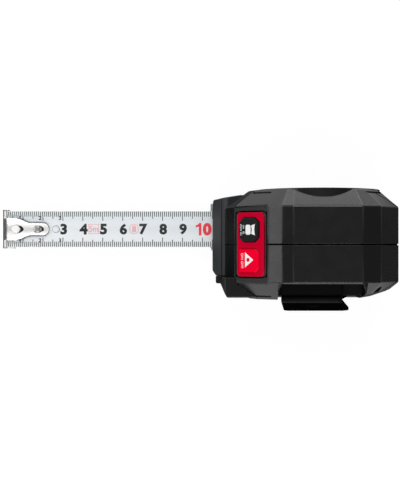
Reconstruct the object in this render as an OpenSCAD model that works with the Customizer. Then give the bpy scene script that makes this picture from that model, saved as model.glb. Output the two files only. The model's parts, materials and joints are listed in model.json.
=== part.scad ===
// Pocket tape measure with a laser distance meter beside its reel.
// The blade leaves towards -X, the display faces +Y and the belt clip hangs on -Y.
// The origin lies on the base, under the reel axis, on the seam between the case halves.

/* [Case] */
// Distance from the reel axis to the front face
case_front = 46.2; // [46:0.2:50]
// Distance from the reel axis to the rear face
case_rear = 36.1; // [36:0.1:42]
// Height of the roof above the wound blade
roof_gap = 8.5; // [8.5:0.5:12]
// Distance from the seam to each side face
case_half_w = 25.5; // [25.5:0.5:28]
// Half of the flat spine between the two side bevels
spine_half_w = 17.5; // [17:0.5:19]
// Thickness of the case walls
wall = 2.4; // [2:0.1:2.8]
// Width of the groove along the seam
seam_groove_w = 0.7; // [0.4:0.1:1.2]
// Depth of the groove along the seam
seam_groove_d = 0.5; // [0.3:0.1:1]

/* [Reel] */
// Outer radius of the wound blade
coil_r = 28; // [26:0.5:28]
// Radius of the drum that the blade winds on
drum_r = 23; // [20:0.5:24]
// Thickness of the drum's wall and flanges
drum_wall = 1.2; // [0.8:0.1:1.4]
// Radius of the fixed post that the drum turns on
post_r = 4; // [3:0.5:5]
// Turns of the flat power spring
spring_turns = 6; // [4:1:8]
// Thickness of the power spring's ribbon
ribbon_t = 0.5; // [0.3:0.1:0.8]

/* [Blade] */
// Width of the blade laid flat
blade_w = 19; // [16:0.5:19]
// Height of the blade's centre line above the base
blade_z = 9; // [8.9:0.1:9.4]
// Offset of the blade's centre line from the seam
blade_y = 7.9; // [7.5:0.1:8.2]
// Thickness of the blade
blade_t = 0.4; // [0.3:0.05:0.5]
// Radius of the blade's hollow cross-section
blade_bend_r = 14.7; // [13:0.5:18]
// Distance from the reel axis to the outer face of the hook
blade_reach = 157.4; // [140:1:180]

/* [Hook] */
// Thickness of the hook's sheet
hook_t = 1; // [0.8:0.1:1.2]
// Length of the hook's plate on the blade
hook_plate_l = 23.3; // [22:0.5:26]
// Half of the width of the plate's broad end
hook_plate_half_w = 5.6; // [5:0.2:6.5]
// Half of the width of the plate's narrow tongue
hook_tongue_half_w = 3.3; // [3:0.1:4]
// Width of the hook's front tab
hook_tab_w = 19.2; // [18:0.2:20]
// Play of the hook along the blade
hook_play = 1; // [0.6:0.1:1.4]
// Radius of the rivets' shanks
rivet_r = 1.2; // [1:0.1:1.3]
// Thickness of the rivets' heads under the blade
rivet_foot_t = 0.25; // [0.2:0.05:0.35]

/* [Mouth] */
// Projection of the bumper in front of the case
bumper_l = 6.7; // [5.7:0.2:7.1]
// Height of the bumper at the case
bumper_h = 24; // [22:0.5:26]
// Width of the mouth
mouth_w = 22; // [21.6:0.2:22.6]
// Height of the mouth's floor
mouth_floor = 3.4; // [3:0.1:4]
// Height of the mouth's roof
mouth_roof = 14.6; // [14:0.2:15.2]
// Projection of the wear lip in front of the bumper
lip_l = 0.4; // [0.2:0.1:0.6]

/* [Keypad] */
// Length of the button panel down the slope
panel_l = 14.9; // [14.9:0.1:15.6]
// Width of the button panel
panel_w = 29.6; // [26.6:0.2:31]
// Thickness of the button panel
panel_t = 1.8; // [1.4:0.1:2.2]
// Height of the panel above the slope
panel_rise = 0.6; // [0.3:0.1:0.9]
// Length of both buttons down the slope
button_l = 11.3; // [10.3:0.2:11.7]
// Strip of the panel beyond the black button
mode_margin = 2.4; // [2:0.1:3]
// Strip of the panel beyond the red button
measure_margin = 1.85; // [1.5:0.05:2.4]
// Strip of the panel between the buttons
button_between = 3.25; // [2:0.25:4]
// Height of the buttons above the panel
button_rise = 1.2; // [0.8:0.1:1.6]
// Travel of the buttons
button_travel = 0.6; // [0.4:0.1:0.8]
// Clearance around the buttons
button_gap = 0.2; // [0.1:0.05:0.3]

/* [Laser] */
// Projection of the laser shroud in front of the case
shroud_l = 2.2; // [1.8:0.1:2.6]
// Drop from the roof to the top of the laser shroud
shroud_drop = 17.5; // [16:0.5:19]
// Radius of the receiver lens
receiver_r = 3.4; // [3:0.1:3.6]
// Radius of the emitter lens
emitter_r = 2; // [1.5:0.1:3]

/* [Display] */
// Radius of the round rim that carries the display
dial_r = 29.4; // [28.4:0.2:30]
// Distance of the display's centre in front of the reel axis
dial_shift = 2.5; // [1.5:0.1:3.5]
// Height of the display's centre above the reel axis
dial_lift = 3.5; // [2.5:0.1:3.8]
// Projection of the rim from the side of the case
dial_rise = 0.4; // [0.2:0.1:0.6]
// Thickness of the rim
rim_w = 1.2; // [0.8:0.1:1.6]
// Depth of the recess inside the rim
dial_depth = 2; // [1.8:0.1:2.4]
// Width of the bezel around the display window
bezel_w = 2.8; // [2:0.1:3.4]
// Width of the display panel
lcd_w = 36; // [30:0.5:38]
// Height of the display panel
lcd_h = 24; // [20:0.5:28]

/* [Batteries] */
// Diameter of a battery cell
cell_d = 10.5; // [10:0.1:10.5]
// Height of the case over the length of a battery cell
cell_spare_h = 29.5; // [29.5:0.1:30.5]
// Thickness of the battery door
door_t = 2; // [1.6:0.1:2.2]

/* [Clip] */
// Thickness of the belt clip
clip_t = 1.6; // [1.5:0.1:2]
// Clear gap behind the belt clip at its foot
clip_gap = 5.7; // [5:0.1:6.5]
// Width of the clip at its top
clip_top_w = 28.6; // [26:0.2:30]
// Width of the clip at its foot
clip_foot_w = 32.2; // [28:0.2:33]
// Height of the clip's foot above the base
clip_foot_z = 14; // [12:0.5:18]

/* [Hidden] */
$fn = 64;

big = 300;
fit = 0.15;        // gap between seated pieces
run = 0.05;        // radial clearance of running fits
free = 0.3;        // gap between pieces that move past each other

reel_z = blade_z + blade_t / 2 + free + coil_r;
case_h = reel_z + coil_r + roof_gap;

// Side outline of the case as [x, z], counter-clockwise from the front of the base.
profile = [
    [-case_front + 6.2, 0],
    [case_rear - 12.1, 0],
    [case_rear - 5.1, 5],
    [case_rear, 16],
    [case_rear, case_h - 34],
    [case_rear - 2.1, case_h - 19],
    [case_rear - 12.1, case_h - 4.5],
    [case_rear - 21, case_h],
    [-case_front + 29.8, case_h],
    [-case_front + 24.9, case_h - 1.5],
    [-case_front + 18.7, case_h - 5.4],
    [-case_front + 3.6, case_h - 18],
    [-case_front, case_h - 30],
    [-case_front, 7]
];
// How far the bevel draws in each edge of that outline, from the base edge onwards.
bevels = [1.6, 3.5, 7, 10.4, 10, 8.5, 7.5, 7, 7, 7, 7.5, 10, 10.8, 9];

function cross_z(a, b) = a[0] * b[1] - a[1] * b[0];
function inward(e) = [-e[1], e[0]] / norm(e);
function meet(p, d, q, e) = p + d * cross_z(q - p, e) / cross_z(d, e);
function inset_corner(a, b, c, t1, t2) =
    meet(b + inward(b - a) * t1, b - a, b + inward(c - b) * t2, c - b);
// Draws every edge of a convex outline in by its own distance.
function inset(pts, t) = let (n = len(pts)) [
    for (i = [0 : n - 1])
        let (h = (i + n - 1) % n, j = (i + 1) % n)
            inset_corner(pts[h], pts[i], pts[j], t[h], t[i])
];
function inset_even(pts, t) = inset(pts, [for (p = pts) t]);
function arc_pts(c, r, a0, a1, n) =
    [for (i = [0 : n]) let (a = a0 + (a1 - a0) * i / n) c + r * [cos(a), sin(a)]];

facet_turn = 15;     // turn and lean of the facet at the rear of the clip side
facet_lean = 5.1;

side_profile = inset(profile, bevels);
inner_profile = inset_even(profile, wall);
inner_side_profile = inset_even(side_profile, wall);

// Slope that carries the buttons
key_foot = profile[11] - [0, 0.2];
key_head = profile[10] - [0, 1];
key_pitch = atan2(key_head[1] - key_foot[1], key_head[0] - key_foot[0]);
key_len = norm(key_head - key_foot);
key_mid = (key_foot + key_head) / 2;
panel_x = -0.2;
button_x = -0.6;
panel_corner_r = 1.9;
mode_cut = 2.4;             // corner cuts of the buttons
measure_foot_cut = 0.9;
measure_head_cut = 2;
board_over = 1.6;           // length that the keypad board adds to the buttons
board_side_gap = 1.5;
key_room = 2.2;             // length that the room under the panel adds to the buttons
mode_share = 0.507;         // the black button's share of both widths
key_widths = panel_w - mode_margin - measure_margin - button_between;
mode_w = key_widths * mode_share;
measure_w = key_widths - mode_w;
mode_y = panel_w / 2 - mode_margin - mode_w / 2;
measure_y = -panel_w / 2 + measure_margin + measure_w / 2;
panel_top = panel_rise;
panel_bottom = panel_rise - panel_t;
flange_t = 0.9;
stem_bottom = panel_bottom - fit - flange_t - 0.6;
switch_top = stem_bottom - button_travel - 0.1;
switch_h = 2;
key_board_t = 1.2;
key_board_top = switch_top - switch_h;

// Reel
coil_y0 = blade_y - blade_w / 2;
coil_y1 = blade_y + blade_w / 2;
flange_r = coil_r - 0.4;
partition_t = 1.4;
partition_y = coil_y0 - drum_wall - 0.5;
display_wall_y = coil_y1 + drum_wall + 0.7;

// Mouth
mouth_y0 = blade_y - mouth_w / 2;
bumper_front = -case_front - bumper_l;
lip_front = bumper_front - lip_l;

// Hook and blade end
hook_x = -blade_reach;
blade_end = hook_x + 2 * hook_t + 0.2;
front_rivet_x = hook_x + 6.4;
rear_rivet_x = hook_x + 17;
end_rivet_x = hook_x + 26.4;
bend_z = blade_z + blade_bend_r;
plate_outer_r = blade_bend_r - blade_t / 2 - 0.05;
plate_inner_r = plate_outer_r - hook_t;

// Release lever
lever_x = -case_front + 16.7;
lever_z = 4.4;
lever_y0 = 1.6;
lever_w = 13;
lever_pin_r = 1;
lug_t = 1.1;
pad_top = blade_z - blade_t / 2 - rivet_foot_t - 0.15;
pad_x0 = lever_x - 5.9;
pad_x1 = lever_x - 2.1;
nose_top = pad_top - 0.8;
nose_bottom = nose_top - 2.6;
lever_swing_room = 0.9;
window_x0 = lever_x + 1.6;
window_x1 = lever_x + 10.8;

// Screws through the case as [x, z]
screw_spots = [
    [-case_front + 26.7, case_h - 7.5],
    [case_rear - 13.5, case_h - 10],
    [case_rear - 4.8, 13],
    [-case_front + 6.2, 17.4]
];
screw_r = 1.3;
screw_head_r = 2.1;
boss_r = 3.2;
screw_tip_y = 5;

// Laser
shroud_front = -case_front - shroud_l;
shroud_top = case_h - shroud_drop;
shroud_y0 = -case_half_w + 0.7;
shroud_y1 = -15.5;
shroud_bottom = 4;
shroud_rear = -case_front + 22;
shroud_corner = [2.3, 5.6];    // cut of the corner between its front and its side
shroud_brow = 1.6;             // cut along the top of its front
beam_y = -19.8;
barrel_depth = 3.4;            // set-back of the lens barrels behind the shroud's front
window_z1 = shroud_top - 6.5;
emitter_z = window_z1 - 5;
receiver_z = emitter_z - 13;
window_z0 = receiver_z - 7;
window_t = 1;
window_half_w = 3.6;
module_front = -case_front + 9;
module_l = 11.8;

// Display
dial_x = -dial_shift;
dial_z = reel_z + dial_lift;
dial_face_y = case_half_w + dial_rise;
dial_floor_y = dial_face_y - dial_depth;
dial_in_r = dial_r - rim_w;
lcd_t = 2.6;

// Batteries
cell_l = case_h - cell_spare_h;
cell_y = -13;
cell_x = [case_rear - 26.9, case_rear - 26.9 + cell_d + 0.5];
door_x0 = cell_x[0] - cell_d / 2 - 1.5;
door_x1 = cell_x[1] + cell_d / 2 + 0.9;
door_y1 = cell_y + cell_d / 2 + 0.8;
door_z0 = 0.2;
door_flap_z = 13;
rail = 0.8;
contact_t = 0.4;
cell_z0 = door_z0 + door_t + contact_t + 0.2;
cell_z1 = cell_z0 + cell_l;
battery_spring_h = 2;
plate_z = cell_z1 + 1.3 + battery_spring_h;

// Belt clip
clip_leg_y = -case_half_w + 0.1;
clip_seat_y = clip_leg_y + clip_t;
clip_foot_y = -case_half_w - clip_gap - clip_t;
clip_fold_z = case_h - 14;
clip_leg_z = case_h - 42;
clip_top_z = clip_fold_z + clip_t;
clip_top_x = -6.8;
clip_foot_x = -1.2;
notch_x0 = -case_front + 23.4;
notch_x1 = case_rear - 19.1;
notch_y = -spine_half_w - 0.3;
notch_z = case_h - 16;
notch_ramp = 3;
clip_screw_z = clip_leg_z + 9;
screw_head_ys = [notch_y + 1.4, -19.5, -19.5, -19.5];
clip_screw_x = clip_top_x + (clip_foot_x - clip_top_x) * (clip_top_z - clip_screw_z)
    / (clip_top_z - clip_foot_z);
clip_head_t = 1.1;
clip_split_y = clip_leg_y - 0.6;

// Short grooves on the bevels, in front of and behind the display
side_groove_y = case_half_w - 1.4;
side_groove_w = 0.5;
side_groove_d = 0.5;
side_groove_spans = [[-case_front + 12.4, -case_front + 20.3], [case_rear - 18.7, case_rear - 10.7]];

// ---- shared shapes -----------------------------------------------------------

// Extrudes an [x, z] outline from y0 to y1.
module along_y(y0, y1) {
    translate([0, y1, 0]) rotate([90, 0, 0]) linear_extrude(y1 - y0) children();
}

// Extrudes a [y, z] outline from x0 to x1.
module along_x(x0, x1) {
    translate([x0, 0, 0]) rotate([90, 0, 90]) linear_extrude(x1 - x0) children();
}

module rod_y(x, z, r, y0, y1) {
    translate([x, y0, z]) rotate([-90, 0, 0]) cylinder(r = r, h = y1 - y0);
}

module rod_x(y, z, r, x0, x1) {
    translate([x0, y, z]) rotate([0, 90, 0]) cylinder(r = r, h = x1 - x0);
}

module box(x, y, z) {
    translate([x[0], y[0], z[0]]) cube([x[1] - x[0], y[1] - y[0], z[1] - z[0]]);
}

module round_rect(l, w, r) {
    square([l - 2 * r, w], center = true);
    square([l, w - 2 * r], center = true);
    for (x = [-1, 1], y = [-1, 1])
        translate([x * (l / 2 - r), y * (w / 2 - r)]) circle(r = r, $fn = 32);
}

module on_keypad() {
    translate([key_mid[0], 0, key_mid[1]]) rotate([0, -key_pitch, 0]) children();
}

// Closed skin over a row of rings that all have as many points.
module loft(rings) {
    n = len(rings[0]);
    last = len(rings) - 1;
    polyhedron(
        points = [for (r = rings) each r],
        faces = concat(
            [[for (i = [0 : n - 1]) i]],
            [[for (i = [n - 1 : -1 : 0]) last * n + i]],
            [for (k = [0 : last - 1], i = [0 : n - 1]) let (j = (i + 1) % n)
                [k * n + j, k * n + i, (k + 1) * n + i, (k + 1) * n + j]]
        ),
        convexity = 8
    );
}

// Round-wire compression spring standing on z = 0.
module coil_spring(r, wire, h, turns) {
    steps = turns * 14;
    rise = h - 2 * wire;
    loft([for (k = [0 : steps]) let (a = 360 * k / 14, z = wire + rise * k / steps)
        [for (s = [0 : 5]) let (b = 60 * s)
            [(r + wire * cos(b)) * cos(a), (r + wire * cos(b)) * sin(a), z + wire * sin(b)]]]);
}

// Convex body between a mid outline and a drawn-in side outline.
module bevelled(mid, mid_y, side, side_y) {
    hull() {
        along_y(-mid_y, mid_y) polygon(mid);
        along_y(-side_y, side_y) polygon(side);
    }
}

// Everything beyond the facet that draws in the rear of the clip side above the battery door
module beyond_facet(depth) {
    translate([door_x1 + 0.5, -case_half_w + depth, door_flap_z + 0.4])
        rotate([-facet_lean, 0, facet_turn]) box([-60, 60], [-60, 0], [-60, 90]);
}

module case_form() {
    difference() {
        bevelled(profile, spine_half_w, side_profile, case_half_w);
        beyond_facet(0);
    }
}

module case_hollow() {
    difference() {
        bevelled(inner_profile, spine_half_w - 1, inner_side_profile, case_half_w - wall);
        beyond_facet(wall);
    }
}

// ---- case --------------------------------------------------------------------

module seam_groove() {
    difference() {
        along_y(-seam_groove_w / 2, seam_groove_w / 2)
            polygon(inset_even(profile, -1));
        along_y(-seam_groove_w, seam_groove_w)
            polygon(inset_even(profile, seam_groove_d));
        box([-big, big], [-big, big], [-1, 30]);
        box([-big, key_head[0]], [-big, big], [-1, big]);
    }
}

// Grooves along the outer edge of both top bevels
module side_grooves() {
    share = (side_groove_y - spine_half_w) / (case_half_w - spine_half_w);
    for (side = [-1, 1])
        difference() {
            along_y(side * side_groove_y - side_groove_w / 2, side * side_groove_y + side_groove_w / 2)
                polygon(inset_even(profile, -1));
            along_y(side * side_groove_y - side_groove_w, side * side_groove_y + side_groove_w)
                polygon(inset(profile, [for (b = bevels) b * share + side_groove_d]));
            box([-big, side_groove_spans[0][0]], [-big, big], [-1, big]);
            box([side_groove_spans[0][1], side_groove_spans[1][0]], [-big, big], [-1, big]);
            box([side_groove_spans[1][1], big], [-big, big], [-1, big]);
            box([-big, big], [-big, big], [-2, case_h / 2]);
        }
}

// Slope that is sunk in front of the step behind the buttons
module key_slope_cut() {
    on_keypad() box([-key_len / 2 - 6, key_len / 2], [-big, big], [0, 20]);
}

module key_pocket() {
    on_keypad() {
        translate([panel_x, 0, panel_bottom - fit])
            linear_extrude(10) round_rect(panel_l + 2 * fit, panel_w + 2 * fit, panel_corner_r);
        translate([button_x, 0, -20]) linear_extrude(20)
            round_rect(button_l + key_room, panel_w - board_over, 1);
    }
}

module key_seat() {
    on_keypad()
        box([-key_len / 2 + 0.4, key_len / 2 + 1.5], [-panel_w / 2 - 2, panel_w / 2 + 2],
            [key_board_top - 0.6, 0]);
}

module mouth_cut() {
    box([bumper_front - 1, -case_front + wall + 2], [mouth_y0, mouth_y0 + mouth_w],
        [mouth_floor, mouth_roof]);
}

module screw_bosses(y0, y1) {
    for (s = screw_spots) rod_y(s[0], s[1], boss_r, y0, y1);
}

module case_display_side() {
    color("#202124")
    difference() {
        union() {
            difference() {
                case_form();
                case_hollow();
            }
            intersection() {
                case_form();
                union() {
                    screw_bosses(0, case_half_w);
                    key_seat();
                }
            }
            rod_y(dial_x, dial_z, dial_r, display_wall_y, dial_face_y);
            lever_lugs();
        }
        box([-big, big], [-big, 0], [-big, big]);
        seam_groove();
        side_grooves();
        key_slope_cut();
        key_pocket();
        mouth_cut();
        lever_window();
        rod_y(dial_x, dial_z, dial_in_r, dial_floor_y, dial_face_y + 1);
        box([dial_x - lcd_w / 2 - fit, dial_x + lcd_w / 2 + fit],
            [dial_floor_y - lcd_t - 0.1, dial_floor_y + 1],
            [dial_z - lcd_h / 2 - fit, dial_z + lcd_h / 2 + fit]);
        for (s = screw_spots) rod_y(s[0], s[1], screw_r + run, -1, screw_tip_y + 1);
    }
}

module case_clip_side() {
    color("#1c1d20")
    difference() {
        union() {
            difference() {
                case_form();
                case_hollow();
            }
            intersection() {
                case_form();
                union() {
                    screw_bosses(-case_half_w, 0);
                    key_seat();
                    clip_backing();
                    battery_ribs();
                }
            }
        }
        box([-big, big], [0, big], [-big, big]);
        seam_groove();
        side_grooves();
        key_slope_cut();
        key_pocket();
        mouth_cut();
        clip_notch();
        rod_y(clip_screw_x, clip_screw_z, screw_r + run, -case_half_w - 1, clip_seat_y + 5);
        door_cut();
        rod_x(beam_y, receiver_z, receiver_r + 1.2, shroud_front, module_front + 3);
        rod_x(beam_y, emitter_z, emitter_r + 1.2, shroud_front, module_front + 3);
        for (i = [0 : len(screw_spots) - 1]) let (s = screw_spots[i]) {
            rod_y(s[0], s[1], screw_r + 0.2, -big, 1);
            rod_y(s[0], s[1], screw_head_r + 0.1, -big, screw_head_ys[i] + 1.5);
        }
    }
}

module clip_backing() {
    box([notch_x0 - wall, notch_x1 + wall], [-case_half_w, clip_seat_y + wall],
        [clip_leg_z - wall, case_h]);
    box([notch_x0 - wall, notch_x1 + wall], [-case_half_w, notch_y + wall],
        [notch_z - notch_ramp - wall, case_h]);
}

// Pocket for the clip's inner leg and the open notch above it
module clip_notch() {
    box([notch_x0, notch_x1], [-big, clip_seat_y], [clip_leg_z - fit, case_h + 1]);
    hull() {
        box([notch_x0, notch_x1], [-big, notch_y], [notch_z, case_h + 1]);
        box([notch_x0, notch_x1], [-big, clip_seat_y], [notch_z - notch_ramp, notch_z]);
    }
}

module battery_ribs() {
    for (x = [door_x0 - 2.2, door_x1 + 0.6])
        box([x, x + 1.6], [-case_half_w, door_y1], [0, cell_z1 * 0.6]);
}

module door_cut() {
    box([door_x0 - fit, door_x1 + fit], [-big, door_y1 + fit], [-1, door_z0 + door_t + fit]);
    box([door_x0 - fit, door_x1 + fit], [-big, -case_half_w + wall + fit], [-1, door_flap_z + fit]);
    box([door_x0, door_x1], [-case_half_w + wall, door_y1], [-1, cell_z0 + 4]);
    box([door_x0 - rail - fit, door_x1 + rail + fit], [-big, door_y1 + fit],
        [door_z0 + 0.6 - fit, door_z0 + 1.4 + fit]);
}

module case_screw(i) {
    x = screw_spots[i][0];
    z = screw_spots[i][1];
    head_y = screw_head_ys[i];
    color("#8f9194")
    difference() {
        union() {
            rod_y(x, z, screw_r, head_y + 1, screw_tip_y);
            rod_y(x, z, screw_head_r, head_y, head_y + 1.5);
        }
        for (a = [0, 90])
            translate([x, head_y, z]) rotate([0, a, 0]) cube([2.8, 1.4, 0.6], center = true);
    }
}

// ---- mouth -------------------------------------------------------------------

bumper_y0 = -15.2;
bumper_step = 0.6;   // set-back of the bumper's face beside the mouth
bumper_plan = [
    [bumper_front + bumper_step, bumper_y0 + 2.3], [bumper_front + 2.1, bumper_y0],
    [-case_front + 4, bumper_y0], [-case_front + 12, 10], [-case_front + 10, case_half_w - 0.9],
    [-case_front + 7.2, case_half_w - 0.9], [bumper_front + 0.9, case_half_w - 3.2],
    [bumper_front + bumper_step, mouth_y0 + mouth_w - 1.4],
    [bumper_front, mouth_y0 + mouth_w - 2.1], [bumper_front, mouth_y0 + 2],
    [bumper_front + bumper_step, mouth_y0 + 1.3]
];
ledge_l = 1.45;      // flat strip of the bumper's top beside the case
ledge_groove = 0.6;  // groove in front of that strip
bumper_side = [
    [bumper_front, 0.6], [-case_front + 12, 0.6], [-case_front + 12, bumper_h - 5],
    [-case_front + 1, bumper_h], [-case_front, bumper_h],
    [-case_front - ledge_l, bumper_h - 1.2],
    [-case_front - ledge_l, bumper_h - 2.2],
    [-case_front - ledge_l - ledge_groove, bumper_h - 2.2],
    [-case_front - ledge_l - ledge_groove, bumper_h - 1.6],
    [bumper_front, bumper_h - 10]
];

module front_bumper() {
    color("#46494c")
    difference() {
        intersection() {
            linear_extrude(bumper_h + 1) polygon(bumper_plan);
            along_y(-big, big) polygon(bumper_side);
        }
        case_form();
        mouth_cut();
        lip_form(fit);
    }
}

// Wear lip under the mouth: a front strip and the tongue that the blade runs over
module lip_form(gap) {
    box([lip_front, bumper_front + 1.8 + gap], [mouth_y0 + 1.4 - gap, case_half_w - 4.6 + gap],
        [1.6 - gap, mouth_floor + 0.6 + gap]);
    box([bumper_front, -case_front + wall], [mouth_y0 + 0.3 - gap, mouth_y0 + mouth_w - 0.3 + gap],
        [mouth_floor - 0.6 - gap, mouth_floor + 0.6]);
}

module mouth_lip() {
    color("#b4b6b8") lip_form(0);
}

// ---- reel --------------------------------------------------------------------

module reel_partition() {
    color("#3a3c40")
    difference() {
        union() {
            intersection() {
                along_y(partition_y - partition_t, partition_y)
                    polygon(inset_even(profile, wall + fit));
                box([-case_front + 8, big], [-big, big], [-big, case_h - 14]);
            }
            for (x = [board_x0 + 2, board_x1 - 2], z = [board_z0 + 2, board_z1 - 2])
                rod_y(x, z, 1.4, board_y + board_t, partition_y - partition_t);
        }
        rod_y(0, reel_z, post_r + 0.02, -big, big);
        for (s = screw_spots) rod_y(s[0], s[1], boss_r + fit, -big, big);
        on_keypad() box([-key_len, key_len], [-big, big], [key_board_top - key_board_t - 0.5, 30]);
    }
}

module reel_post() {
    color("#9a9da0")
    difference() {
        union() {
            rod_y(0, reel_z, post_r, partition_y - partition_t, display_wall_y);
            rod_y(0, reel_z, post_r + 1.6, coil_y1 + drum_wall + 0.1, display_wall_y);
        }
        box([-0.4, 0.4], [-big, coil_y1 - 4], [reel_z - post_r - 1, reel_z + post_r + 1]);
    }
}

module drum() {
    color("#2c2e31")
    difference() {
        union() {
            rod_y(0, reel_z, drum_r, coil_y0, coil_y1);
            rod_y(0, reel_z, flange_r, coil_y1, coil_y1 + drum_wall);
        }
        rod_y(0, reel_z, drum_r - drum_wall, coil_y0 - 1, coil_y1 - 0.4);
        rod_y(0, reel_z, post_r + run, -big, big);
    }
}

module drum_cover() {
    color("#33363a")
    difference() {
        rod_y(0, reel_z, flange_r, coil_y0 - drum_wall, coil_y0);
        rod_y(0, reel_z, post_r + run, -big, big);
        for (a = [0 : 60 : 300])
            rod_y(15 * cos(a), reel_z + 15 * sin(a), 2.6, -big, big);
    }
}

module blade_coil() {
    color("#d8dde0")
    difference() {
        rod_y(0, reel_z, coil_r, coil_y0 + 0.05, coil_y1 - 0.05);
        rod_y(0, reel_z, drum_r + 0.02, -big, big);
    }
}

function spiral_pt(a, r0, pitch, off) = (r0 + pitch * a / 360 + off) * [cos(a), sin(a)];

module power_spring() {
    r0 = post_r + run + 0.5;
    pitch = (drum_r - drum_wall - 0.4 - r0 - ribbon_t) / spring_turns;
    ends = 360 * spring_turns;
    color("#6d7276")
    translate([0, 0, reel_z])
    along_y(coil_y0 + 0.4, coil_y1 - 0.8)
        polygon(concat(
            [for (a = [0 : 15 : ends]) spiral_pt(a, r0, pitch, ribbon_t)],
            [for (a = [ends : -15 : 0]) spiral_pt(a, r0, pitch, 0)]
        ));
}

// ---- blade and hook ----------------------------------------------------------

// Cross-section of the blade as [y, z]: bend 1 is its full hollow, 0 lies flat.
function blade_section(bend) =
    let (r = blade_bend_r / max(bend, 0.02), half = blade_w / 2 / r * 180 / PI, n = 12)
    [for (side = [0, 1], i = [0 : n])
        let (a = half * (side == 0 ? 2 * i / n - 1 : 1 - 2 * i / n),
             q = r + (side == 0 ? 1 : -1) * blade_t / 2)
            [blade_y + q * sin(a), blade_z + r - q * cos(a)]];

// The hollow flattens in steps between the mouth and the reel.
flat_x0 = -30;
flat_x1 = -12;
flat_steps = 6;

module blade() {
    step = (flat_x1 - flat_x0) / flat_steps;
    color("#e4e8ea") {
        difference() {
            along_x(blade_end, flat_x0) polygon(blade_section(1));
            for (x = [front_rivet_x, rear_rivet_x, end_rivet_x])
                translate([x, blade_y, 0]) cylinder(r = rivet_r + 0.02, h = blade_z + 3);
        }
        for (k = [1 : flat_steps])
            along_x(flat_x0 + step * (k - 1) - 0.02, k < flat_steps ? flat_x0 + step * k : 0)
                polygon(blade_section((1.02 + 0.98 * cos(180 * k / flat_steps)) / 2));
    }
}

// Plan outline of the hook's plate: broad end, waist and round tongue
plate_plan = concat(
    [[hook_x + 0.2, -hook_plate_half_w], [hook_x + 6.9, -hook_plate_half_w]],
    [for (t = [0.2 : 0.2 : 1]) [hook_x + 6.9 + 7.1 * t,
        -hook_tongue_half_w - (hook_plate_half_w - hook_tongue_half_w) * (1 + cos(180 * t)) / 2]],
    arc_pts([hook_x + hook_plate_l - hook_tongue_half_w, 0], hook_tongue_half_w, -90, 90, 12),
    [for (t = [1 : -0.2 : 0.2]) [hook_x + 6.9 + 7.1 * t,
        hook_tongue_half_w + (hook_plate_half_w - hook_tongue_half_w) * (1 + cos(180 * t)) / 2]],
    [[hook_x + 6.9, hook_plate_half_w], [hook_x + 0.2, hook_plate_half_w]]
);

module rivet_slot(x) {
    for (d = [0, hook_play])
        translate([x + d, blade_y, 0]) cylinder(r = rivet_r + 0.1, h = 40);
    translate([x, blade_y - rivet_r - 0.1, 0]) cube([hook_play, 2 * rivet_r + 0.2, 40]);
}

// The plate hugs the hollow of the blade.
module hook_plate() {
    difference() {
        intersection() {
            translate([0, blade_y, 0]) linear_extrude(30) polygon(plate_plan);
            difference() {
                rod_x(blade_y, bend_z, plate_outer_r, hook_x, hook_x + 40);
                rod_x(blade_y, bend_z, plate_inner_r, hook_x - 1, hook_x + 41);
            }
            box([-big, 0], [-big, big], [0, bend_z]);
        }
        rivet_slot(front_rivet_x);
        rivet_slot(rear_rivet_x);
    }
}

// The front tab hangs below the blade, rolls over at its top and has an ear at each edge.
module hook_tab() {
    half = hook_tab_w / 2;
    foot = 1;
    roll_r = 2 * hook_t;
    roll_z = blade_z + 3.3 - roll_r;
    y0 = blade_y - half;
    y1 = blade_y + half;
    translate([0, blade_y, 0]) along_x(hook_x, hook_x + hook_t)
        polygon(concat(
            [[half, roll_z + 0.1], [-half, roll_z + 0.1]],
            arc_pts([-half + 2.2, foot + 2.2], 2.2, 180, 270, 6),
            arc_pts([half - 2.2, foot + 2.2], 2.2, 270, 360, 6)
        ));
    difference() {
        rod_y(hook_x + roll_r, roll_z, roll_r, y0, y1);
        rod_y(hook_x + roll_r, roll_z, roll_r - hook_t, y0 - 1, y1 + 1);
        box([hook_x - 1, hook_x + 3 * roll_r], [y0 - 1, y1 + 1], [roll_z - 2 * roll_r, roll_z]);
        box([hook_x + roll_r, hook_x + 3 * roll_r], [y0 - 1, y1 + 1], [0, roll_z + 2 * roll_r]);
    }
    for (e = [[y1 - 0.4, 3], [y0, 6]])
        translate([hook_x, e[0], blade_z - 1]) cube([e[1], 0.4, 3.4]);
}

module end_hook() {
    color("#c9ccce") {
        hook_plate();
        hook_tab();
    }
}

module rivet(x, head_r, head_z, colour) {
    color(colour) translate([x, blade_y, 0]) {
        translate([0, 0, blade_z - blade_t / 2 - rivet_foot_t])
            cylinder(r = head_r, h = rivet_foot_t - 0.02);
        translate([0, 0, blade_z - blade_t / 2 - rivet_foot_t / 2])
            cylinder(r = rivet_r, h = head_z - blade_z + blade_t / 2 + rivet_foot_t / 2);
        translate([0, 0, head_z]) cylinder(r = head_r, h = 0.4);
        translate([0, 0, head_z + 0.4]) cylinder(r1 = head_r, r2 = head_r * 0.6, h = 0.35);
    }
}

hook_top = bend_z - plate_inner_r;

module hook_rivet_front() {
    rivet(front_rivet_x, 2, hook_top + 0.4, "#e9eaea");
}

module hook_rivet_rear() {
    rivet(rear_rivet_x, 1.7, hook_top + 0.3, "#a5a8aa");
}

module blade_rivet() {
    rivet(end_rivet_x, 1.65, blade_z + blade_t / 2 + 0.12, "#c2c5c7");
}

// ---- release lever -----------------------------------------------------------

module lever_window() {
    box([window_x0 - free, window_x1 + lever_swing_room],
        [lever_y0 - free, lever_y0 + lever_w + free], [-1, wall + 1]);
}

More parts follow.
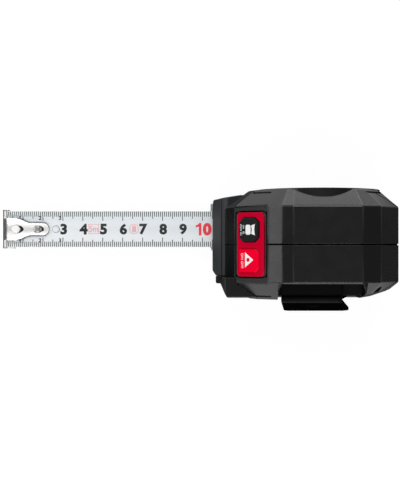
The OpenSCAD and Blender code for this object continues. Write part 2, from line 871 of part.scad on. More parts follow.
module lever_lugs() {
    for (y = [lever_y0 - 0.2 - lug_t, lever_y0 + lever_w + 0.2])
        difference() {
            union() {
                rod_y(lever_x, lever_z, 2.3, y, y + lug_t);
                box([lever_x - 2.3, lever_x + 2.3], [y, y + lug_t], [wall / 2, lever_z]);
            }
            rod_y(lever_x, lever_z, lever_pin_r + 0.02, -big, big);
        }
}

module release_lever() {
    color("#2a2c2f")
    difference() {
        union() {
            rod_y(lever_x, lever_z, 2, lever_y0, lever_y0 + lever_w);
            box([pad_x0 - 0.4, pad_x1 + 0.4], [lever_y0 + 2, lever_y0 + lever_w - 2],
                [nose_bottom, nose_top]);
            box([pad_x1, lever_x], [lever_y0 + 2, lever_y0 + lever_w - 2],
                [nose_bottom, nose_bottom + 1.2]);
            box([lever_x, window_x1], [lever_y0, lever_y0 + lever_w], [2.9, 4.6]);
            box([window_x0, window_x1], [lever_y0, lever_y0 + lever_w], [0.5, 4]);
        }
        rod_y(lever_x, lever_z, lever_pin_r + run, -big, big);
        for (x = [window_x0 + 1.6 : 1.8 : window_x1 - 1])
            rod_y(x, 0.3, 0.5, lever_y0 + 1, lever_y0 + lever_w - 1);
    }
}

module lever_pin() {
    color("#8f9194")
        rod_y(lever_x, lever_z, lever_pin_r, lever_y0 - lug_t - 0.2, lever_y0 + lever_w + lug_t + 0.2);
}

module lever_spring() {
    color("#b9bcbe")
        translate([lever_x - 4.3, lever_y0 + lever_w / 2, wall])
            coil_spring(1.5, 0.2, nose_bottom - wall - 0.05, 3);
}

module brake_pad() {
    color("#17181a")
        box([pad_x0, pad_x1], [lever_y0 + 2.4, lever_y0 + lever_w - 2.4], [nose_top, pad_top]);
}

// ---- keypad ------------------------------------------------------------------

// Button outline with its own corner cuts at the foot and at the head of the slope
function button_pts(l, w, foot_cut, head_cut, g) =
    let (a = l / 2 + g, b = w / 2 + g, f = foot_cut + g * 0.59, h = head_cut + g * 0.59)
    [[-a + f, -b], [a - h, -b], [a, -b + h], [a, b - h],
     [a - h, b], [-a + f, b], [-a, b - f], [-a, -b + f]];
function mode_pts(g) = button_pts(button_l, mode_w, mode_cut, mode_cut, g);
function measure_pts(g) =
    button_pts(button_l, measure_w, measure_foot_cut, measure_head_cut, g);

module button_panel() {
    color("#d2052f")
    on_keypad() difference() {
        translate([panel_x, 0, panel_bottom])
            linear_extrude(panel_t) round_rect(panel_l, panel_w, panel_corner_r);
        translate([button_x, mode_y, -5]) linear_extrude(10) polygon(mode_pts(button_gap));
        translate([button_x, measure_y, -5])
            linear_extrude(10) polygon(measure_pts(button_gap));
    }
}

module button_form(pts, rim) {
    cap = 0.7;
    translate([0, 0, panel_bottom - fit - 0.1])
        linear_extrude(panel_t + fit + 0.1 + button_rise - cap) polygon(pts);
    translate([0, 0, panel_top + button_rise - cap])
        linear_extrude(cap, scale = 0.86) polygon(pts);
    translate([0, 0, panel_bottom - fit - flange_t]) linear_extrude(flange_t) polygon(rim);
    translate([0, 0, stem_bottom]) cylinder(r = 1.6, h = 1);
}

module measure_button() {
    color("#ff0032") on_keypad() translate([button_x, measure_y, 0])
        button_form(measure_pts(0), measure_pts(button_gap + 0.6));
}

module mode_button() {
    color("#242526") on_keypad() translate([button_x, mode_y, 0])
        button_form(mode_pts(0), mode_pts(button_gap + 0.6));
}

module keypad_board() {
    color("#1f5a3a") on_keypad()
        translate([button_x, 0, key_board_top - key_board_t])
            linear_extrude(key_board_t)
                round_rect(button_l + board_over, panel_w - 2 * board_side_gap, 0.8);
}

module tact_switch(y) {
    color("#55585b") on_keypad() translate([button_x, y, key_board_top]) {
        translate([-2.6, -2.6, 0]) cube([5.2, 5.2, switch_h - 0.6]);
        cylinder(r = 1.4, h = switch_h);
    }
}

// ---- electronics -------------------------------------------------------------

board_x0 = -22;
board_x1 = door_x0 - 2.7;
board_z0 = 14;
board_z1 = case_h - 22;
board_t = 1.2;
board_y = partition_y - partition_t - 2.6;
chip_l = 8;
chip_x = board_x0 + (board_x1 - board_x0) * 0.27;
chip_z = board_z0 + (board_z1 - board_z0) * 0.38;
driver_l = 5;
driver_x = board_x0 + (board_x1 - board_x0) * 0.69;
driver_z = board_z0 + (board_z1 - board_z0) * 0.16;

module main_board() {
    color("#1f5a3a") {
        box([board_x0, board_x1], [board_y, board_y + board_t], [board_z0, board_z1]);
        box([chip_x, chip_x + chip_l], [board_y - 1, board_y], [chip_z, chip_z + chip_l]);
        box([driver_x, driver_x + driver_l], [board_y - 0.8, board_y],
            [driver_z, driver_z + driver_l]);
    }
}

module laser_shroud() {
    top = [shroud_front + shroud_brow, shroud_top];
    color("#141516")
    difference() {
        union() {
            intersection() {
                linear_extrude(shroud_top) polygon([
                    [shroud_front, shroud_y1],
                    [shroud_front, shroud_y0 + shroud_corner[1]],
                    [shroud_front + shroud_corner[0], shroud_y0],
                    [shroud_rear, shroud_y0],
                    [shroud_rear, shroud_y1]
                ]);
                along_y(-big, 0) polygon([
                    [shroud_front, shroud_bottom], [shroud_rear, shroud_bottom],
                    [shroud_rear, shroud_top], top, [shroud_front, shroud_top - shroud_brow]
                ]);
            }
            box([shroud_front - 2.3, shroud_front + 1], [shroud_y1 - 3.5, shroud_y1],
                [shroud_bottom, shroud_bottom + 18]);
        }
        case_form();
        rod_x(beam_y, receiver_z, receiver_r + 1.2, shroud_front - 1, shroud_rear);
        rod_x(beam_y, emitter_z, emitter_r + 1.2, shroud_front - 1, shroud_rear);
        window_form(fit);
    }
}

// Smoked window that folds round the shroud's cut corner
module window_form(gap) {
    fold_y = shroud_y0 + shroud_corner[1];
    lean = shroud_corner[0] / shroud_corner[1];
    end_y = beam_y - window_half_w - gap;
    end_x = shroud_front + (fold_y - end_y) * lean;
    translate([0, 0, window_z0 - gap]) linear_extrude(window_z1 - window_z0 + 2 * gap) polygon([
        [shroud_front - gap, beam_y + window_half_w + gap],
        [shroud_front - gap, fold_y],
        [end_x - gap, end_y],
        [end_x + window_t + gap, end_y],
        [shroud_front + window_t + gap, fold_y],
        [shroud_front + window_t + gap, beam_y + window_half_w + gap]
    ]);
}

module laser_window() {
    color("#2b1418") window_form(0);
}

module laser_module() {
    front = shroud_front + barrel_depth;
    color("#3f4347")
    difference() {
        union() {
            box([module_front, module_front + module_l], [-22.6, -10.5],
                [window_z0 - 1, window_z1 + 0.4]);
            rod_x(beam_y, receiver_z, receiver_r + 1, front, module_front + 1);
            rod_x(beam_y, emitter_z, emitter_r + 1, front, module_front + 1);
            box([module_front + 3, module_front + 10], [-10.5, partition_y - partition_t],
                [window_z1 - 14, window_z1 - 4]);
        }
        rod_x(beam_y, receiver_z, receiver_r + 0.02, front - 1, front + 4);
        rod_x(beam_y, emitter_z, emitter_r + 0.02, front - 1, front + 4);
        case_shell_side();
    }
}

// Stretch of the clip side's wall that the optics stand against
module case_shell_side() {
    difference() {
        box([module_front - 8, module_front + 20], [-big, 0], [window_z0 - 5, shroud_top - 0.5]);
        case_hollow();
        rod_x(beam_y, receiver_z, receiver_r + 1, shroud_front, module_front + 3);
        rod_x(beam_y, emitter_z, emitter_r + 1, shroud_front, module_front + 3);
    }
}

module lens(z, r) {
    front = shroud_front + barrel_depth + 0.6;
    dome = r * 1.6;
    intersection() {
        rod_x(beam_y, z, r, front - 1, front + 2);
        translate([front + dome - 0.6, beam_y, z]) sphere(r = dome, $fn = 64);
    }
}

module emitter_lens() {
    color("#7a1f2a") lens(emitter_z, emitter_r);
}

module receiver_lens() {
    color("#6b3038") lens(receiver_z, receiver_r);
}

// ---- display -----------------------------------------------------------------

module display_bezel() {
    color("#2f3235")
    difference() {
        rod_y(dial_x, dial_z, dial_in_r - fit, dial_floor_y, dial_floor_y + 1.2);
        rod_y(dial_x, dial_z, dial_in_r - bezel_w, dial_floor_y - 1, dial_floor_y + 2);
    }
}

module display_window() {
    color("#11161a")
        rod_y(dial_x, dial_z, dial_in_r - bezel_w - fit, dial_floor_y, dial_floor_y + 0.9);
}

module lcd_panel() {
    color("#8fa08c")
        box([dial_x - lcd_w / 2, dial_x + lcd_w / 2], [dial_floor_y - lcd_t, dial_floor_y - 0.1],
            [dial_z - lcd_h / 2, dial_z + lcd_h / 2]);
}

// ---- batteries ---------------------------------------------------------------

module battery_cell(i) {
    flip = i == 0 ? 0 : 180;
    color("#c7a04a") translate([cell_x[i], cell_y, (cell_z0 + cell_z1) / 2]) rotate([flip, 0, 0]) {
        translate([0, 0, -cell_l / 2]) cylinder(d = cell_d, h = cell_l - 1);
        translate([0, 0, cell_l / 2 - 1]) cylinder(r = 1.9, h = 1);
    }
}

module battery_spring(i) {
    color("#b9bcbe") translate([cell_x[i], cell_y, cell_z1 + 0.2])
        coil_spring(2.4, 0.3, battery_spring_h + 1, 4);
}

module battery_plate() {
    color("#c9ccce")
        box([cell_x[0] - 4, cell_x[1] + 4], [cell_y - 4.6, partition_y - partition_t],
            [plate_z, plate_z + 0.8]);
}

module battery_door() {
    color("#1c1d20")
    difference() {
        intersection() {
            case_form();
            union() {
                box([door_x0, door_x1], [-case_half_w, door_y1], [door_z0, door_z0 + door_t]);
                box([door_x0, door_x1], [-case_half_w, -case_half_w + wall],
                    [door_z0, door_flap_z]);
                box([door_x0 - rail, door_x1 + rail], [-case_half_w + 3, door_y1],
                    [door_z0 + 0.6, door_z0 + 1.4]);
            }
        }
        for (k = [0 : 3])
            box([door_x0 + 6, door_x1 - 6], [-16 + 1.8 * k, -15.2 + 1.8 * k], [-1, door_z0 + 0.4]);
    }
}

module door_contact() {
    color("#c9ccce")
        box([cell_x[0] - 4, cell_x[1] + 4], [cell_y - 4, cell_y + 4],
            [door_z0 + door_t, door_z0 + door_t + contact_t]);
}

// ---- belt clip ---------------------------------------------------------------

// Leaning outline of the clip, narrow at the arch and wide at the foot
clip_outline = concat(
    arc_pts([clip_foot_x - clip_foot_w / 2 + 5, clip_foot_z + 5], 5, 180, 270, 8),
    arc_pts([clip_foot_x + clip_foot_w / 2 - 5, clip_foot_z + 5], 5, 270, 360, 8),
    arc_pts([clip_top_x + clip_top_w / 2 - 3, clip_top_z - 3], 3, 8, 90, 6),
    arc_pts([clip_top_x - clip_top_w / 2 + 1, clip_top_z - 1], 1, 90, 172, 4)
);

// Section as [y, z]: the leg on the case folds over into a tongue that leans away from it,
// and a flange lies on the floor of the notch.
module clip_section() {
    end_r = clip_t / 2;
    translate([clip_leg_y, clip_leg_z]) square([clip_t, clip_fold_z - clip_leg_z]);
    intersection() {
        translate([clip_leg_y, clip_fold_z]) circle(r = clip_t);
        translate([clip_leg_y - clip_t, clip_fold_z]) square([2 * clip_t, clip_t]);
    }
    polygon([
        [clip_leg_y - clip_t, clip_fold_z], [clip_foot_y, clip_foot_z + end_r],
        [clip_foot_y + clip_t, clip_foot_z + end_r], [clip_leg_y, clip_fold_z]
    ]);
    translate([clip_foot_y + end_r, clip_foot_z + end_r]) circle(r = end_r);
    translate([clip_leg_y, notch_z + fit])
        square([notch_y - 0.2 - clip_leg_y, clip_fold_z - notch_z - 2 * fit]);
}

module belt_clip() {
    color("#0c0d0e")
    difference() {
        intersection() {
            along_x(-60, 60) clip_section();
            along_y(-big, 0) polygon(clip_outline);
        }
        rod_y(clip_screw_x, clip_screw_z, screw_r + 0.1, clip_split_y, 0);
        rod_y(clip_screw_x, clip_screw_z, screw_head_r + 0.1, clip_split_y, clip_leg_y + clip_head_t);
        rod_y(clip_screw_x, clip_screw_z, screw_head_r + 0.6, -big, clip_split_y);
    }
}

module clip_screw() {
    color("#8f9194") {
        rod_y(clip_screw_x, clip_screw_z, screw_r, clip_leg_y, clip_seat_y + 2);
        rod_y(clip_screw_x, clip_screw_z, screw_head_r, clip_leg_y, clip_leg_y + clip_head_t);
    }
}

case_display_side();
case_clip_side();
front_bumper();
mouth_lip();
case_screw(0);  // case_screw_1
case_screw(1);  // case_screw_2
case_screw(2);  // case_screw_3
case_screw(3);  // case_screw_4
reel_partition();
reel_post();
drum();
drum_cover();
blade_coil();
power_spring();
blade();
end_hook();
hook_rivet_front();
hook_rivet_rear();
blade_rivet();
release_lever();
lever_pin();
lever_spring();
brake_pad();
button_panel();
measure_button();
mode_button();
keypad_board();
tact_switch(measure_y);  // measure_switch
tact_switch(mode_y);  // mode_switch
main_board();
laser_shroud();
laser_window();
laser_module();
emitter_lens();
receiver_lens();
display_bezel();
display_window();
lcd_panel();
battery_cell(0);  // battery_cell_1
battery_cell(1);  // battery_cell_2
battery_spring(0);  // battery_spring_1
battery_spring(1);  // battery_spring_2
battery_plate();
battery_door();
door_contact();
belt_clip();
clip_screw();
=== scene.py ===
"""Looks of a pocket tape measure with a laser distance meter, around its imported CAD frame.

Everything is in metres in the part's own frame: the blade leaves to -X, the display faces +Y,
the belt clip hangs on -Y, and the base stands on z = 0.
"""

import json
import math

import bmesh
import bpy
from mathutils import Matrix, Vector
from mathutils.bvhtree import BVHTree


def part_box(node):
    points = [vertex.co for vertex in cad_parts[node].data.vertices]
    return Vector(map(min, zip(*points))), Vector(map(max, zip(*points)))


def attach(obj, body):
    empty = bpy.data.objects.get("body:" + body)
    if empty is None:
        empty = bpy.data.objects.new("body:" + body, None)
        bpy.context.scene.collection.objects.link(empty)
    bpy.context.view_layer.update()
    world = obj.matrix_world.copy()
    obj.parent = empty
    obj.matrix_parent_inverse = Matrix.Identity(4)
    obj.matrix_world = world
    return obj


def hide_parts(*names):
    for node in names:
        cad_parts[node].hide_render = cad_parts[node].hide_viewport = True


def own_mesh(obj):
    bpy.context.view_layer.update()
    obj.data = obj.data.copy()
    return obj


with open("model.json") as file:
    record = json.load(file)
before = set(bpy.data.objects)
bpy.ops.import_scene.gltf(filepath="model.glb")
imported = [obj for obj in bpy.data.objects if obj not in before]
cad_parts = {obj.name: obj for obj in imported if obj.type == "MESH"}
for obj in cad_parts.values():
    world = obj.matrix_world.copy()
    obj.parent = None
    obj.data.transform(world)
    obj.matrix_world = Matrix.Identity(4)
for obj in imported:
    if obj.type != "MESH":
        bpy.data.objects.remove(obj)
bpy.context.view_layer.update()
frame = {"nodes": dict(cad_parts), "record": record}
scene = bpy.context.scene

# ---- facts and sizes from the frame --------------------------------------------------------

MM = 0.001
NODES = frame["nodes"]
BODY_OF = {n: b for b, ns in frame["record"]["behaviour"]["bodies"].items() for n in ns}

BLADE_LO, BLADE_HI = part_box("blade")
PANEL_LO, PANEL_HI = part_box("button_panel")
LCD_LO, LCD_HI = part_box("lcd_panel")
HOOK_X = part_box("end_hook")[0].x

BLADE_Y = (BLADE_LO.y + BLADE_HI.y) / 2
BLADE_BEND = 14.7 * MM  # radius of the blade's hollow
BLADE_WIDTH = 19 * MM  # laid flat
BLADE_SKIN = 0.4 * MM
BLADE_Z = BLADE_LO.z + BLADE_SKIN / 2
BLADE_INNER = BLADE_BEND - BLADE_SKIN / 2  # radius of the printed face
KEYPAD_PITCH = math.atan2(11.8, 15.1)  # rise and run of the panel's slope, in mm
PRINT_LIFT = 0.03 * MM  # height of ink over the face that carries it


# ---- small helpers -------------------------------------------------------------------------


def in_mm(points):
    """Points given in millimetres, as metres."""
    return [(x * MM, y * MM) for x, y in points]


def mesh_of(form, name):
    """Turns a bmesh into a mesh and frees it."""
    mesh = bpy.data.meshes.new(name)
    form.to_mesh(mesh)
    form.free()
    return mesh


def joined(parts):
    """One bmesh of flat meshes, each moved by its x and y. The meshes are used up."""
    form = bmesh.new()
    for mesh, x, y in parts:
        mesh.transform(Matrix.Translation((x, y, 0)))
        form.from_mesh(mesh)
        bpy.data.meshes.remove(mesh)
    return form


def face_along(form, axis):
    """Flips the faces that look against an axis (0, 1 or 2)."""
    for face in form.faces:
        face.normal_update()
        if face.normal[axis] < 0:
            face.normal_flip()


def math_node(tree, operation, a, b=None):
    made = tree.nodes.new("ShaderNodeMath")
    made.operation = operation
    for socket, value in zip(made.inputs, (a, b)):
        if isinstance(value, (int, float)):
            socket.default_value = value
        elif value is not None:
            tree.links.new(value, socket)
    return made.outputs[0]


def map_range(tree, source, low, high, start=0.0, stop=1.0):
    made = tree.nodes.new("ShaderNodeMapRange")
    for name, value in (("From Min", start), ("From Max", stop), ("To Min", low), ("To Max", high)):
        made.inputs[name].default_value = value
    tree.links.new(source, made.inputs["Value"])
    return made.outputs["Result"]


# ---- materials -----------------------------------------------------------------------------


class Finish:
    """A Principled material whose colour, gloss and relief come from nodes in object space."""

    def __init__(self, name, colour, rough, metal=0.0, specular=0.5, coat=0.0):
        self.mat = bpy.data.materials.new(name)
        self.mat.use_nodes = True
        self.tree = self.mat.node_tree
        self.inputs = self.tree.nodes["Principled BSDF"].inputs
        self.colour = colour
        self.rough = rough
        for socket, value in (("Base Color", (*colour, 1)), ("Roughness", rough),
                              ("Metallic", metal), ("Specular IOR Level", specular),
                              ("Coat Weight", coat), ("Coat Roughness", 0.12)):
            self.inputs[socket].default_value = value
        self.place = self.node("ShaderNodeTexCoord").outputs["Object"]

    def node(self, kind, **values):
        made = self.tree.nodes.new(kind)
        for key, value in values.items():
            setattr(made, key, value)
        return made

    def link(self, source, target):
        self.tree.links.new(source, target)

    def along(self, axis):
        """The coordinate along X, Y or Z."""
        split = self.node("ShaderNodeSeparateXYZ")
        self.link(self.place, split.inputs["Vector"])
        return split.outputs[axis]

    def stretched(self, scale):
        mapping = self.node("ShaderNodeMapping")
        mapping.inputs["Scale"].default_value = scale
        self.link(self.place, mapping.inputs["Vector"])
        return mapping.outputs["Vector"]

    def noise(self, scale, detail=3.0, vector=None):
        made = self.node("ShaderNodeTexNoise")
        made.inputs["Scale"].default_value = scale
        made.inputs["Detail"].default_value = detail
        self.link(vector or self.place, made.inputs["Vector"])
        return made.outputs["Fac"]

    def ranged(self, source, low, high, start=0.3, stop=0.7):
        return map_range(self.tree, source, low, high, start, stop)

    def tinted(self, source, other, strength=1.0, start=0.3, stop=0.7):
        """Fades the base colour towards another where the source is high."""
        mix = self.node("ShaderNodeMix", data_type="RGBA")
        factor, first, second = mix.inputs["Factor"], mix.inputs[6], mix.inputs[7]
        current = self.inputs["Base Color"]
        first.default_value = (*self.colour, 1)
        second.default_value = (*other, 1)
        if current.is_linked:
            self.link(current.links[0].from_socket, first)
        self.link(self.ranged(source, 0, strength, start, stop), factor)
        self.link(mix.outputs[2], current)
        return self

    def uneven_gloss(self, scale, spread, vector=None):
        low, high = max(0.02, self.rough - spread), min(1, self.rough + spread)
        source = self.noise(scale, 4, vector)
        self.link(self.ranged(source, low, high), self.inputs["Roughness"])
        return self

    def relief(self, source, height, strength=1.0):
        bump = self.node("ShaderNodeBump")
        bump.inputs["Distance"].default_value = height
        bump.inputs["Strength"].default_value = strength
        target = self.inputs["Normal"]
        if target.is_linked:
            self.link(target.links[0].from_socket, bump.inputs["Normal"])
        self.link(source, bump.inputs["Height"])
        self.link(bump.outputs["Normal"], target)
        return self

    def worn(self, rubbed_and_lit):
        """Lighter, patchy colour along the rounded edges, which carry the attribute that mark_edges
        stores: rubbing and painted highlight.
        """
        edge = self.node("ShaderNodeAttribute", attribute_name="edge_wear_and_highlight")
        patches = self.ranged(self.noise(60, 2), 0.4, 1)
        amount = math_node(self.tree, "MULTIPLY", edge.outputs["Fac"], patches)
        return self.tinted(amount, rubbed_and_lit, 1.0, 0.0, 1.0)


def moulded(name, colour, rough, specular=0.5, grain=5200, depth=0.03 * MM, wear_and_highlight=None):
    """Injection-moulded plastic: spark-eroded grain, slow tone changes, and edges lightened by
    rubbing and painted highlight.
    """
    made = Finish(name, colour, rough, specular=specular)
    lighter = tuple(min(1, c * 1.3 + 0.0006) for c in colour)
    made.tinted(made.noise(90), lighter, 0.3)
    made.uneven_gloss(160, 0.02)
    made.relief(made.noise(grain), depth, 0.22)
    if wear_and_highlight:
        made.worn(wear_and_highlight)
    return made.mat


def metal(name, colour, rough, streak=(40, 900, 900), spread=0.08):
    """Worked metal with fine streaks along one direction."""
    made = Finish(name, colour, rough, metal=1.0)
    drawn = made.stretched(streak)
    made.tinted(made.noise(1, 6, drawn), tuple(c * 0.82 for c in colour), 0.6)
    made.uneven_gloss(1, spread, drawn)
    made.relief(made.noise(1.6, 4, drawn), 0.01 * MM, 0.35)
    return made.mat


def printed(name, colour):
    """Ink with a slightly uneven cover."""
    made = Finish(name, colour, 0.42, specular=0.4)
    made.tinted(made.noise(2600, 4), tuple(min(1, c * 1.15 + 0.02) for c in colour), 0.5)
    return made.mat


def blade_lacquer():
    """Pale lacquer with painted shade toward both edges of the hollow and toward the case."""
    made = Finish("blade_lacquer", (0.86, 0.885, 0.91), 0.4, specular=0.4)
    made.tinted(made.noise(170, 4), (0.89, 0.905, 0.925), 0.8)
    # Painted shade: darker toward the case.
    case_shade = made.ranged(made.along("X"), 0, 1, HOOK_X + 20 * MM, HOOK_X + 90 * MM)
    made.tinted(case_shade, (0.72, 0.755, 0.79), 0.6, 0.0, 1.0)
    # Painted shade across the hollow: darker toward both edges, most on the +Y side, with a
    # grey-blue band along the +Y edge.
    across = made.along("Y")
    for start, stop, tone, share in ((1.5, 5.0, (0.70, 0.75, 0.79), 0.9),
                                     (-2.0, -7.0, (0.72, 0.755, 0.78), 0.7),
                                     (5.6, 6.6, (0.73, 0.79, 0.81), 1.0)):
        band = made.ranged(across, 0, 1, BLADE_Y + start * MM, BLADE_Y + stop * MM)
        made.tinted(band, tone, share, 0.0, 1.0)
    made.uneven_gloss(900, 0.06)
    made.relief(made.noise(1, 4, made.stretched((60, 2200, 2200))), 0.008 * MM, 0.4)
    return made.mat


def hook_bend():
    """Metal of the hook's bend: painted shade over its middle and along its outer and front rims,
    bright beside its plate.
    """
    # The dark tone is painted shade; the bright one is the metal's own colour.
    shaded_metal, bright_metal = (0.13, 0.135, 0.14), (0.88, 0.88, 0.86)
    made = Finish("hook_bend", shaded_metal, 0.42, metal=1.0)
    off_middle = math_node(made.tree, "ABSOLUTE",
                           math_node(made.tree, "SUBTRACT", made.along("Y"), BLADE_Y))
    made.tinted(off_middle, bright_metal, 0.9, 5.2 * MM, 5.5 * MM)
    made.tinted(off_middle, shaded_metal, 1.0, 9.15 * MM, 9.3 * MM)
    made.tinted(made.along("X"), shaded_metal, 1.0, HOOK_X + 0.6 * MM, HOOK_X + 0.45 * MM)
    made.uneven_gloss(400, 0.04)
    return made.mat


def board_lacquer():
    made = Finish("board_lacquer", (0.012, 0.085, 0.04), 0.3, coat=0.4)
    made.tinted(made.noise(1900, 2), (0.02, 0.14, 0.07))
    made.relief(made.noise(900), 0.02 * MM)
    return made.mat


def cell_jacket():
    """Copper-coloured sleeve, black above its band."""
    made = Finish("cell_jacket", (0.46, 0.30, 0.07), 0.28, metal=0.6, coat=0.5)
    made.tinted(made.ranged(made.along("Z"), 0, 1, 33 * MM, 33.3 * MM), (0.01, 0.01, 0.011))
    made.uneven_gloss(500, 0.08)
    return made.mat


def smoked_window():
    made = Finish("smoked_window", (0.22, 0.02, 0.03), 0.07)
    made.inputs["Transmission Weight"].default_value = 0.9
    made.tinted(made.noise(300), (0.28, 0.03, 0.04), 0.6)
    made.uneven_gloss(700, 0.04)
    return made.mat


def dial_window():
    made = Finish("dial_window", (0.80, 0.81, 0.82), 0.03, specular=0.12)
    made.inputs["Transmission Weight"].default_value = 0.95
    made.tinted(made.noise(240), (0.83, 0.84, 0.85), 0.6)
    return made.mat


def red_lens():
    made = Finish("lens_red", (0.35, 0.02, 0.03), 0.05, coat=1.0)
    made.tinted(made.noise(900, 2), (0.5, 0.05, 0.07), 0.8)
    return made.mat


def lcd_glass():
    made = Finish("lcd_glass", (0.36, 0.43, 0.36), 0.4)
    made.tinted(made.noise(120), (0.40, 0.46, 0.39), 0.8)
    made.relief(made.noise(2600), 0.004 * MM, 0.2)
    return made.mat


BLACK = (0.0046, 0.0046, 0.0051)
# Lighter colour of the rounded edges: rubbing and painted highlight.
RUBBED_AND_LIT = (0.03, 0.03, 0.031)
EVEN = (700, 700, 700)  # streaks with no direction

# The edge colours given to moulded below are painted highlight along the rounded edges, with some
# rubbing.
MATS = {
    "shell": moulded("moulded_black", BLACK, 0.27, wear_and_highlight=RUBBED_AND_LIT),
    "keypad_seat": moulded("seat_black", BLACK, 0.3, 0.36, wear_and_highlight=RUBBED_AND_LIT),
    # Painted shade: a darker, duller copy of the shell's black for its front wall, the clip's notch
    # and the screw bores.
    "recess": moulded("recess_black", (0.0026, 0.0027, 0.003), 0.62, 0.05),
    # The clip's top in the notch: a lighter copy of the clip's black, painted light.
    "clip_top_painted_light": moulded("clip_top_painted_light", (0.0026, 0.0025, 0.0028), 0.62, 0.09),
    "bumper": moulded("bumper_grey", (0.029, 0.033, 0.0355), 0.5, 0.3, wear_and_highlight=(0.05, 0.053, 0.055)),
    "inner": moulded("inner_plastic", (0.03, 0.03, 0.033), 0.5),
    # Painted shade: the clip's black is darkened to the shade on its face; its edge colour is
    # painted highlight only.
    "clip": moulded("clip_black", (0.0014, 0.0013, 0.0015), 0.66, 0.0, wear_and_highlight=(0.014, 0.014, 0.014)),
    "shroud": moulded("shroud_black", (0.0065, 0.0066, 0.0075), 0.24, 0.45, 2600, 0.012 * MM),
    "lip": moulded("lip_grey", (0.42, 0.43, 0.435), 0.42),
    "panel": moulded("panel_red", (0.52, 0.0012, 0.024), 0.55, 0.0, wear_and_highlight=(0.72, 0.02, 0.05)),
    "red_key": moulded("red_key", (0.86, 0.0008, 0.026), 0.55, 0.0, wear_and_highlight=(0.9, 0.02, 0.05)),
    "black_key": moulded("black_key", (0.0055, 0.0055, 0.0055), 0.5, 0.16),
    "pad": moulded("pad_rubber", (0.012, 0.012, 0.012), 0.75, 0.3),
    "bezel": moulded("bezel_black", (0.006, 0.006, 0.0065), 0.42, 0.4, wear_and_highlight=(0.03, 0.03, 0.03)),
    "mask": moulded("mask_black", (0.002, 0.002, 0.0022), 0.6, 0.05, 900, 0.002 * MM),
    # Dark joints, and the painted shade lines along the rear facets.
    "gap": moulded("gap_black", (0.0009, 0.0009, 0.001), 0.7, 0.0),
    "slot_shade": moulded("slot_shade", (0.02, 0.021, 0.024), 0.6, 0.1),
    "rivet_paint": moulded("rivet_paint", (0.80, 0.84, 0.87), 0.45, 0.4),
    "bright_rivet": moulded("rivet_bright", (0.93, 0.93, 0.91), 0.4, 0.6),
    "ink": printed("ink_black", (0.012, 0.014, 0.018)),
    "red_ink": printed("ink_red", (0.82, 0.035, 0.055)),
    "pale_ink": printed("ink_pale_red", (0.83, 0.36, 0.40)),
    "key_ink": printed("key_white", (0.82, 0.83, 0.83)),
    "lcd_ink": printed("lcd_black", (0.012, 0.016, 0.014)),
    "outline_grey": printed("outline_grey", (0.20, 0.21, 0.22)),
    "steel": metal("screw_steel", (0.42, 0.43, 0.44), 0.32, EVEN),
    "black_steel": metal("screw_black", (0.045, 0.045, 0.05), 0.42, EVEN),
    "spring": metal("spring_steel", (0.36, 0.37, 0.39), 0.35),
    "nickel": metal("hook_nickel", (0.93, 0.92, 0.89), 0.46, (90, 500, 500), 0.04),
    "grey_rivet": metal("rivet_grey", (0.5, 0.5, 0.49), 0.4, (300, 300, 300), 0.03),
    "contact": metal("contact_plate", (0.72, 0.7, 0.64), 0.3),
    "blade": blade_lacquer(),
    "hook_bend": hook_bend(),
    "board": board_lacquer(),
    "jacket": cell_jacket(),
    "window": smoked_window(),
    "dial": dial_window(),
    "lens": red_lens(),
    "lcd": lcd_glass(),
}

CAD_FINISH = {
    "shell": ["case_display_side", "case_clip_side", "battery_door"],
    "bumper": ["front_bumper"],
    "lip": ["mouth_lip"],
    "inner": ["reel_partition", "drum", "drum_cover", "release_lever", "laser_module",
              "measure_switch", "mode_switch"],
    "bezel": ["display_bezel"],
    "steel": ["lever_pin", "reel_post"],
    "black_steel": ["case_screw_1", "case_screw_2", "case_screw_3", "case_screw_4", "clip_screw"],
    "blade": ["blade", "blade_coil"],
    "nickel": ["end_hook"],
    "bright_rivet": ["hook_rivet_front"],
    "grey_rivet": ["hook_rivet_rear"],
    "rivet_paint": ["blade_rivet"],
    "spring": ["power_spring", "lever_spring", "battery_spring_1", "battery_spring_2"],
    "pad": ["brake_pad"],
    "panel": ["button_panel"],
    "red_key": ["measure_button"],
    "black_key": ["mode_button"],
    "board": ["keypad_board", "main_board"],
    "shroud": ["laser_shroud"],
    "window": ["laser_window"],
    "dial": ["display_window"],
    "lens": ["emitter_lens", "receiver_lens"],
    "lcd": ["lcd_panel"],
    "jacket": ["battery_cell_1", "battery_cell_2"],
    "contact": ["battery_plate", "door_contact"],
    "clip": ["belt_clip"],
}
SMOOTH_NODES = (
    "end_hook", "case_screw_1", "case_screw_2", "case_screw_3", "case_screw_4",
    "hook_rivet_front", "hook_rivet_rear", "blade_rivet", "display_bezel", "display_window",
    "laser_window", "emitter_lens", "receiver_lens", "drum", "drum_cover", "blade_coil",
    "power_spring", "reel_post", "battery_cell_1", "battery_cell_2", "battery_spring_1",
    "battery_spring_2", "lever_spring", "clip_screw", "lever_pin",
)


def finish_nodes():
    for finish, names in CAD_FINISH.items():
        for name in names:
            NODES[name].data.materials.clear()
            NODES[name].data.materials.append(MATS[finish])
    for name in SMOOTH_NODES:
        NODES[name].data.shade_smooth()
        NODES[name].data.set_sharp_from_angle(angle=math.radians(30))


def refinish(mesh, finish, chosen):
    """Gives the faces that the test picks, by centre in mm and normal, another finish."""
    name = MATS[finish].name
    if name not in mesh.materials:
        mesh.materials.append(MATS[finish])
    index = mesh.materials.find(name)
    for face in mesh.polygons:
        if chosen(face.center / MM, face.normal):
            face.material_index = index


# ---- pieces --------------------------------------------------------------------------------


def add_piece(name, mesh, finish):
    made = bpy.data.objects.new(name, mesh)
    scene.collection.objects.link(made)
    mesh.materials.clear()
    mesh.materials.append(MATS[finish])
    return made


